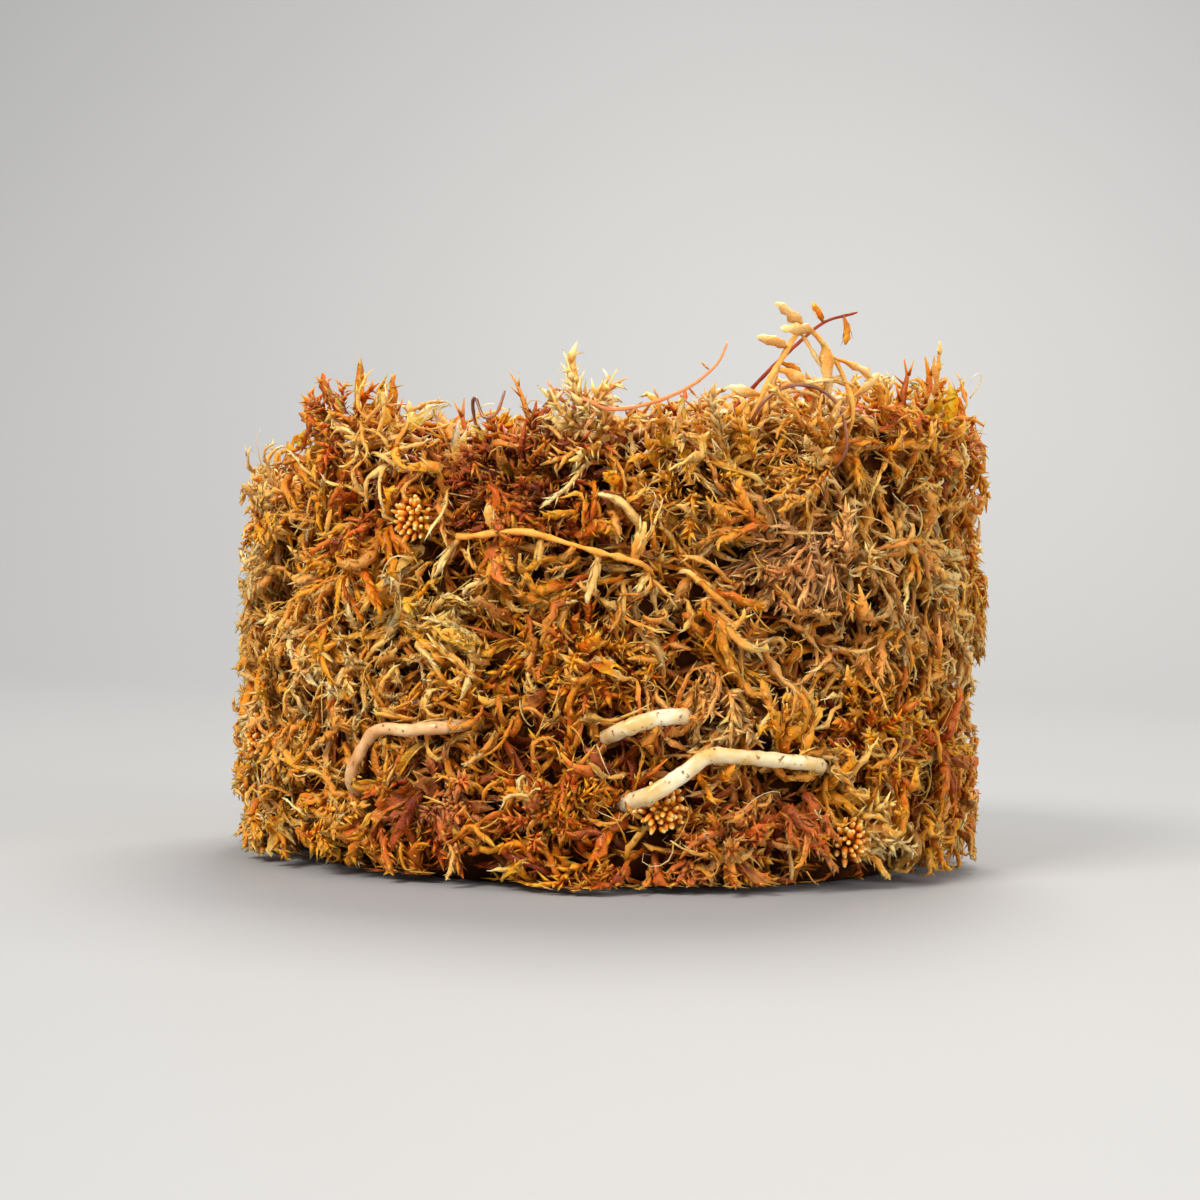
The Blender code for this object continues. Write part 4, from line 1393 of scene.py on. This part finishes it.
@dataclass
class Strand:
    """A root, a twig or a thread along a route of (angle, height, radius) points."""

    name: str
    finish: Finish
    route: tuple
    thick_start: float
    thick_end: float
    knobs: float = 0.12
    sides: int = 10

    def way(self, form: PackedForm, steps: int = 7) -> np.ndarray:
        """Points along the smooth route.

        Args:
            form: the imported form.
            steps: how many points each stretch of the route has.

        Returns:
            The points, one row for each.
        """
        points = np.array([form.point(*p) for p in self.route])
        ends = np.concatenate([[2 * points[0] - points[1]], points, [2 * points[-1] - points[-2]]])
        rows = []
        for i in range(1, len(points)):
            a, b, c, d = ends[i - 1 : i + 3]
            t = np.linspace(0.0, 1.0, steps, endpoint=False)[:, None]
            p, q = b + (c - a) / 6, c - (d - b) / 6
            rows.append((1 - t) ** 3 * b + 3 * (1 - t) ** 2 * t * p + 3 * (1 - t) * t * t * q + t**3 * c)
        return np.concatenate([*rows, points[-1:]])

    def body(self, form: PackedForm) -> bmesh.types.BMesh:
        """The strand's own solid: a rod bent along its way, with small uneven swellings.

        Args:
            form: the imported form.

        Returns:
            The solid, in metres.
        """
        way = self.way(form)
        rings = len(way) - 1
        ahead = unit(np.gradient(way, axis=0))
        side = UP
        frames = []
        for k in range(rings + 1):
            side = unit(side - ahead[k] * side.dot(ahead[k]))
            frames.append((side, np.cross(ahead[k], side)))
        bm = bmesh.new()
        for vert in add_rod(bm, rings, self.sides, rings):
            k = min(rings, max(0, round(vert.co.z)))
            radius = (self.thick_start + (self.thick_end - self.thick_start) * k / rings) / 2
            out = (frames[k][0] * vert.co.x + frames[k][1] * vert.co.y) * radius
            swelling = 1.0 + self.knobs * noise.noise(Vector(way[k] + out) * 0.8) * 2.0
            round_end = 0.55 if k in (0, rings) else 1.0
            vert.co = Vector(form.press(way[k] + out * swelling * round_end, SKIN_SQUEEZE)) * MM
        return bm

    def piece(self, form: PackedForm, material: bpy.types.Material) -> bpy.types.Object:
        """Builds the strand.

        Args:
            form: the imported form.
            material: the finish.

        Returns:
            The object, which stands for the strand's node.
        """
        bm = self.body(form)
        bmesh.ops.recalc_face_normals(bm, faces=bm.faces)
        return dressed(closed(bm, f"{self.name}_skin", material), self.finish, self.name)


@dataclass
class LeafyShoot:
    """A stem with leaves on it: a strand, and for each leaf (share of the stem, angle, length, width).

    A leaf is a flattened branch, and jags is how many small leaves make its edge jagged.
    """

    strand: Strand
    leaves: tuple
    hue: float
    stem_hue: float
    blush: float = 0.5
    jags: int = 8
    flat: float = 0.6
    tone: tuple[float, float] = (0.75, 1.0)
    seed: int = 8

    def piece(self, form: PackedForm, material: bpy.types.Material) -> bpy.types.Object:
        """Builds the shoot.

        Args:
            form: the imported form.
            material: the finish.

        Returns:
            The object, which stands for the stem's node.
        """
        draw = np.random.default_rng(self.seed)
        way = self.strand.way(form)
        bunch = Bunch(form)
        bm = self.strand.body(form)
        bmesh.ops.triangulate(bm, faces=bm.faces)
        bmesh.ops.recalc_face_normals(bm, faces=bm.faces)
        bm.verts.index_update()
        points = np.array([v.co[:] for v in bm.verts]) / MM
        triangles = np.array([[v.index for v in f.verts] for f in bm.faces])
        bm.free()
        bunch.gather(points, triangles, np.tile([self.stem_hue, self.blush, 0.0, 0.8], (len(points), 1)))
        ahead = unit(np.gradient(way, axis=0))
        for share, turn, long, wide in self.leaves:
            k = min(len(way) - 1, int(share * (len(way) - 1)))
            out = unit(way[k] * (1.0 - UP))
            across = np.cross(ahead[k], out)
            angle = math.radians(turn)
            off = across * math.sin(angle) + out * 0.3 + ahead[k] * 0.5 * math.cos(angle)
            leaf = BranchForm(
                length=long, stalk=wide * 0.8, foot=0.15, flat=self.flat, leaves=self.jags, leaf_length=wide * 1.3,
                leaf_width=wide * 0.4, opening=16.0, fray=1.0, recurve=0.03, rough=0.1, seed=int(share * 100),
            )
            paths = Paths(
                way[k : k + 1], off[None], -out[None] + draw.normal(0.0, 0.4, (1, 3)), np.array([long]),
                draw.uniform(0.3, 0.9, 1), np.zeros(1), np.zeros(1),
            )
            hue = np.array([self.hue + draw.normal(0.0, 0.04)])
            looks = Growth(hue, np.array([self.blush]), draw.uniform(*self.tone, 1))
            bunch.add(leaf.template(), paths, np.ones(1), looks, draw)
        return dressed(bunch.piece(f"{self.strand.name}_leaves", material), self.strand.finish, self.strand.name)


@dataclass
class Droplets:
    """Small beads of water that cling to the moss."""

    form: PackedForm
    amount: int = 34
    seed: int = 21

    def piece(self, material: bpy.types.Material) -> bpy.types.Object:
        """Builds the droplets.

        Args:
            material: the finish.

        Returns:
            The object.
        """
        draw = np.random.default_rng(self.seed)
        bm = bmesh.new()
        for _ in range(self.amount):
            angle = draw.uniform(-180.0, 180.0)
            height = draw.uniform(20.0, 62.0)
            size = draw.uniform(0.3, 0.6)
            spot = self.form.point(angle, height, self.form.packed_radius - 2.2)
            place = Matrix.Translation(Vector(spot)) @ Matrix.Diagonal((size, size, size * 0.85, 1.0))
            bmesh.ops.create_icosphere(bm, subdivisions=2, radius=1.0, matrix=place)
        bmesh.ops.scale(bm, vec=(MM, MM, MM), verts=bm.verts)
        return closed(bm, "droplets", material)


def dressed(piece: bpy.types.Object, finish: Finish, *nodes: str) -> bpy.types.Object:
    """Lets a piece ride on the clump and stand for its nodes, by hiding their imported parts.

    Args:
        piece: the object.
        finish: not used.
        nodes: the nodes that it replaces.

    Returns:
        The object.
    """
    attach(piece, "root")
    if nodes:
        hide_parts(*nodes)
    return piece


@dataclass
class Studio:
    """The pale sweep, the soft lights and the camera of the photograph."""

    lens: float = 70.2
    sensor: float = 36.0
    camera_at: tuple[float, float, float] = (-1.6, -365.0, 37.5)
    pitch: float = 0.29
    roll: float = 1.5

    def sweep(self) -> bpy.types.Object:
        """A pale paper floor that curves up into a wall behind the clump.

        Returns:
            The object.
        """
        material, tree, shader = blank("pale_paper_sweep")
        place = wire(tree, "ShaderNodeTexCoord").outputs["Object"]
        cloud = wire(tree, "ShaderNodeTexNoise", {"Vector": place, "Scale": per_mm(900.0), "Detail": 1.0})
        stops = ((0.3, "#979A9F"), (0.7, "#9DA0A5"))
        colour = wire(tree, "ShaderNodeValToRGB", {"Fac": cloud.outputs["Fac"]}, stops=stops)
        feed(tree, shader, {"Base Color": colour.outputs[0], "Roughness": 0.6})
        bm = bmesh.new()
        bmesh.ops.create_grid(bm, x_segments=1, y_segments=1, size=1.0)
        for vert in bm.verts:
            vert.co = Vector((vert.co.x * 6.0, -6.0 + (vert.co.y + 1.0) * 3.35, 0.0))
        back = [e for e in bm.edges if all(v.co.y > 0.6 for v in e.verts)]
        quarter = math.radians(90)
        bmesh.ops.spin(bm, geom=back, cent=(0.0, 0.7, 0.6), axis=(1.0, 0.0, 0.0), angle=quarter, steps=14)
        top = [e for e in bm.edges if all(v.co.z > 0.59 for v in e.verts)]
        made = bmesh.ops.extrude_edge_only(bm, edges=top)
        up = [v for v in made["geom"] if isinstance(v, bmesh.types.BMVert)]
        bmesh.ops.translate(bm, verts=up, vec=(0.0, 0.0, 1.6))
        sweep = closed(bm, "sweep", material)
        return sweep

    def lamp(self, name: str, at: tuple, size: float, power: float, colour: str) -> None:
        """Adds a soft square light that faces the clump.

        Args:
            name: its name.
            at: where it hangs, in metres.
            size: how wide it is, in metres.
            power: its power in watts.
            colour: its sRGB hex colour.
        """
        light = bpy.data.lights.new(name, "AREA")
        light.size = size
        light.energy = power
        light.color = linear(colour)[:3]
        made = bpy.data.objects.new(name, light)
        made.location = at
        made.rotation_euler = (Vector((0.0, 0.0, 0.035)) - Vector(at)).to_track_quat("-Z", "Y").to_euler()
        bpy.context.scene.collection.objects.link(made)

    def build(self) -> None:
        """Sets the sweep, the lights, the world and the camera."""
        self.sweep()
        self.lamp("key", (-0.55, -0.75, 0.75), 0.4, 15.0, "#FFF6E8")
        self.lamp("fill", (0.85, -0.55, 0.35), 0.8, 6.0, "#FFFAF4")
        self.lamp("back", (0.2, 0.9, 1.3), 0.8, 22.0, "#FFF6E8")
        world = bpy.data.worlds.new("studio")
        world.use_nodes = True
        tree = world.node_tree
        feed(tree, tree.nodes["Background"], {"Color": linear("#F4F4F4"), "Strength": 0.68})
        bpy.context.scene.world = world
        camera = bpy.data.cameras.new("camera")
        camera.lens = self.lens
        camera.sensor_width = self.sensor
        camera.clip_start = 0.01
        camera.clip_end = 20.0
        made = bpy.data.objects.new("camera", camera)
        made.location = [c * MM for c in self.camera_at]
        pitch = Matrix.Rotation(math.radians(90.0 + self.pitch), 4, "X")
        made.rotation_euler = (pitch @ Matrix.Rotation(math.radians(self.roll), 4, "Z")).to_euler()
        bpy.context.scene.collection.objects.link(made)
        bpy.context.scene.camera = made
        bpy.context.scene.view_settings.view_transform = "Standard"


def on_side(angle: float, height: float, radius: float = 54.5) -> tuple[float, float, float]:
    """A place on the side, at an angle in degrees round the clump, a height and a radius."""
    turn = math.radians(angle)
    return (radius * math.sin(turn), -radius * math.cos(turn), height)


STARS = (Kind.STARRY, Kind.STARRY, Kind.STRAP, Kind.FLAKE)
SOFT = (Kind.STRAP, Kind.CURL)
SPRAYS = (Kind.SPRAY, Kind.CURL)

TUFTS = (
    LeafyTuft("dark_red_head", Finish.DARK_RED, on_side(-13, 53.0), 24, 17, 70, 0.97, kinds=STARS, tone=(0.2, 0.9),
              seed=31),
    LeafyTuft("golden_tuft", Finish.GOLD, on_side(13, 56.0), 18, 15, 46, 0.42, kinds=STARS, tone=(0.85, 1.0), seed=32),
    LeafyTuft("orange_tuft_middle", Finish.ORANGE, on_side(-5, 32.5), 19, 12, 32, 0.58, kinds=STARS, seed=33),
    LeafyTuft("pink_tuft", Finish.PINK, on_side(27, 45.5), 18, 12, 56, 0.24, 0.85, SPRAYS, (7, 12),
              lean=(-1.5, -0.9), tone=(0.5, 1.0), seed=34),
    LeafyTuft("rust_tuft_front", Finish.RUST, on_side(-9, 9.5), 15, 13, 30, 0.72, kinds=STARS, seed=35),
    LeafyTuft("rust_tuft_low", Finish.RUST, on_side(17, 6.0), 15, 10, 26, 0.66, 0.6, STARS, seed=36),
    LeafyTuft("red_tuft_left", Finish.THREAD_RED, on_side(-25, 11.5), 15, 11, 28, 0.78, 0.7, STARS, seed=37),
    LeafyTuft("straw_tuft_left", Finish.PALE_STRAW, on_side(-42, 30.0), 18, 14, 32, 0.14, kinds=SOFT, seed=38),
    LeafyTuft("brown_tuft_left", Finish.RUST, on_side(-48, 61.5), 14, 14, 30, 0.76, kinds=STARS, seed=39),
    LeafyTuft("rust_tuft_right", Finish.ORANGE, on_side(46, 22.0), 16, 14, 28, 0.62, kinds=STARS, seed=40),
    LeafyTuft("amber_tuft_right", Finish.ORANGE, on_side(60, 64.0), 16, 13, 30, 0.60, kinds=STARS, seed=41),
    LeafyTuft("golden_tuft_side", Finish.GOLD, on_side(86, 36.0), 18, 15, 32, 0.45, kinds=STARS, seed=42),
    LeafyTuft("straw_tuft_back", Finish.PALE_STRAW, on_side(132, 48.0), 18, 15, 32, 0.14, kinds=SOFT, seed=43),
    LeafyTuft("orange_tuft_back", Finish.ORANGE, on_side(168, 25.0), 19, 14, 32, 0.60, kinds=STARS, seed=44),
    LeafyTuft("dark_red_head_back", Finish.DARK_RED, on_side(-148, 50.0), 20, 15, 42, 0.86, kinds=STARS, seed=45),
    LeafyTuft("golden_tuft_back", Finish.GOLD, on_side(-108, 28.0), 18, 14, 32, 0.46, kinds=STARS, seed=46),
    LeafyTuft("top_tuft_orange", Finish.ORANGE, (20.0, 12.0, 66.0), 23, 23, 38, 0.60, kinds=STARS, seed=47),
    LeafyTuft("top_tuft_gold", Finish.GOLD, (-20.0, 12.0, 62.0), 22, 22, 36, 0.45, kinds=STARS, seed=48),
)

BUD_HEADS = (
    BudHead("bud_head_left", on_side(-29.5, 49.5, 55.8), 6.2, 34),
    BudHead("bud_head_front", on_side(7.5, 11.8, 55.8), 7.2, 40),
    BudHead("bud_head_right", on_side(37.5, 7.0, 55.8), 6.4, 34),
    BudHead("bud_head_side", on_side(-70, 18.0, 55.8), 6.4, 34),
)

ROOTS = (
    Strand("root_long", Finish.ROOT_WHITE, (
        (1.0, 11.2, 49.0), (5.5, 13.5, 57.2), (9.8, 16.3, 57.5), (13.5, 18.8, 57.3), (18.0, 18.7, 57.2),
        (24.5, 18.2, 57.2), (30.0, 17.6, 56.8), (35.0, 16.0, 49.0),
    ), 2.4, 1.9),
    Strand("root_short", Finish.ROOT_WHITE, (
        (-1.5, 20.0, 49.0), (2.0, 22.2, 57.0), (6.0, 23.6, 57.4), (9.5, 24.0, 56.8), (13.0, 23.8, 49.0),
    ), 2.2, 2.2),
    Strand("root_left", Finish.ROOT_TAN, (
        (-41.0, 8.0, 49.0), (-38.0, 13.5, 57.0), (-35.0, 19.0, 57.3), (-32.5, 20.8, 57.3), (-28.0, 21.0, 57.2),
        (-23.0, 21.5, 56.6), (-19.5, 22.0, 49.0),
    ), 1.6, 1.8),
)

TWIGS = (
    Strand("brown_twig_arch", Finish.TWIG, (
        (20.0, 60.0, 49.5), (20.5, 65.5, 54.5), (23.5, 68.2, 56.0), (27.5, 68.6, 56.5), (31.0, 67.0, 56.8),
        (33.0, 63.5, 57.0), (32.8, 59.0, 56.6), (30.5, 53.5, 49.0),
    ), 0.55, 0.4, 0.2, 7),
    Strand("brown_twig_bent", Finish.TWIG, (
        (-21.0, 57.5, 50.0), (-20.5, 64.0, 55.0), (-19.5, 65.5, 56.5), (-18.0, 63.0, 57.2), (-16.2, 63.5, 57.2),
        (-15.2, 66.5, 56.8),
    ), 0.55, 0.4, 0.2, 7),
)

SALMON_THREAD = LeafyShoot(
    Strand("salmon_thread", Finish.THREAD_RED, (
        (-6.0, 60.0, 50.0), (-5.5, 65.5, 56.0), (-1.0, 64.2, 57.5), (4.0, 65.0, 57.5), (9.5, 67.5, 57.2),
        (13.5, 70.8, 56.0), (15.5, 74.0, 54.5),
    ), 0.75, 0.3, 0.2, 7),
    (
        (0.10, 250, 5.0, 1.0), (0.14, 300, 6.0, 0.9), (0.18, 60, 4.0, 1.0), (0.20, 200, 4.5, 0.9),
        (0.24, 330, 6.5, 0.9), (0.30, 100, 4.0, 0.8), (0.42, 70, 2.2, 0.5), (0.55, 260, 2.0, 0.5),
        (0.68, 80, 2.0, 0.4), (0.80, 250, 1.8, 0.4),
    ),
    hue=0.40, stem_hue=0.66, blush=0.85, seed=11,
)

STRAW_STEM = LeafyShoot(
    Strand("straw_stem", Finish.STRAW, (
        (-24.0, 47.5, 49.0), (-21.0, 47.0, 56.5), (-12.0, 47.8, 57.5), (-4.0, 45.8, 57.6), (3.5, 44.0, 57.0),
        (7.0, 42.0, 49.0),
    ), 0.9, 0.65, 0.45, 8),
    (
        (0.12, 100, 6.5, 2.0), (0.34, 250, 4.2, 1.8), (0.48, 80, 4.8, 1.8), (0.66, 95, 7.0, 2.0), (0.78, 265, 5.5, 2.0),
        (0.90, 110, 5.0, 1.8),
    ),
    hue=0.12, stem_hue=0.26,
)

STRAW_LOOP = LeafyShoot(
    Strand("straw_shoot_loop", Finish.PALE_STRAW, (
        (19.5, 56.0, 48.0), (20.5, 64.0, 52.0), (23.5, 71.0, 53.5), (27.5, 76.5, 54.0), (31.5, 74.5, 54.0),
        (34.5, 70.5, 54.5), (36.5, 65.0, 54.5), (37.0, 56.0, 48.5),
    ), 0.9, 0.6, 0.3, 8),
    (
        (0.30, 60, 5.5, 1.8), (0.36, 245, 5.5, 1.9), (0.50, 165, 6.0, 2.2), (0.57, 25, 8.0, 2.2),
        (0.64, 340, 6.5, 2.1), (0.72, 120, 7.0, 2.0), (0.80, 240, 6.0, 1.9), (0.22, 250, 5.5, 1.7),
        (0.42, 100, 5.5, 1.9), (0.86, 60, 5.5, 1.7), (0.46, 190, 7.0, 1.9), (0.26, 110, 5.0, 1.6),
    ),
    hue=0.04, stem_hue=0.20, jags=0, flat=0.35, tone=(0.65, 0.9), seed=9,
)

RED_TWIG = LeafyShoot(
    Strand("red_twig", Finish.TWIG, (
        (16.5, 58.0, 44.0), (18.5, 64.0, 47.0), (23.0, 69.0, 48.0), (29.0, 74.0, 48.5), (35.5, 78.5, 49.0),
        (42.5, 80.5, 49.5),
    ), 0.8, 0.4, 0.15, 7),
    ((0.55, 40, 3.5, 1.3), (0.80, 250, 3.4, 1.3), (0.93, 70, 4.2, 1.5)),
    hue=0.50, stem_hue=0.93, seed=10,
)

SHOOTS = (SALMON_THREAD, STRAW_STEM, STRAW_LOOP, RED_TWIG)


def main() -> None:
    """Builds the clump and its studio."""
    logging.basicConfig(level=logging.INFO, format="%(name)s: %(message)s")
    form = PackedForm()
    templates = branch_templates()
    sphagnum = SphagnumFinish().material()
    buds = SphagnumFinish(name="young_sphagnum_buds", roughness=0.35, tipped=0.72).material()
    # The heart's dark, matte colour is painted shade for the gaps between the branches.
    heart = SpeckledFinish(
        "painted_shade_heart", "#5C2E0C", "#301604", "#160A02", blotch_mm=3.0, freckle_mm=1.2, roughness=0.95,
        subsurface=0.0, coat=0.0, specular=0.1,
    ).material()
    ivory = SpeckledFinish("ivory_root_skin", "#ECE2C2", "#D2AE66", "#7A4A1C", freckle_from=0.61).material()
    tan = SpeckledFinish("tan_root_skin", "#E4BC8A", "#BC8448", "#7A4A22").material()
    bark = SpeckledFinish("fine_twig_bark", "#A0603A", "#6E3A20", "#3A1A0A", freckle_mm=0.5).material()

    mass = MossMass(form, ColourMap(form), templates)
    made = [mass.heart(heart), *mass.pieces(sphagnum)]
    for piece in made:
        dressed(piece, Finish.STRAW, "moss_mass")
    for tuft in TUFTS:
        made.append(tuft.piece(form, templates, sphagnum))
    for head in BUD_HEADS:
        made.append(head.piece(form, buds))
    for root in ROOTS:
        made.append(root.piece(form, tan if root.finish is Finish.ROOT_TAN else ivory))
    for twig in TWIGS:
        made.append(twig.piece(form, bark))
    for shoot in SHOOTS:
        made.append(shoot.piece(form, sphagnum))
    made.append(dressed(Droplets(form).piece(WaterFinish().material()), Finish.STRAW))
    for piece in made:
        LOG.info("%s: %d faces", piece.name, len(piece.data.polygons))
    LOG.info("all: %d faces", sum(len(piece.data.polygons) for piece in made))
    Studio().build()


if __name__ == "__main__":
    main()
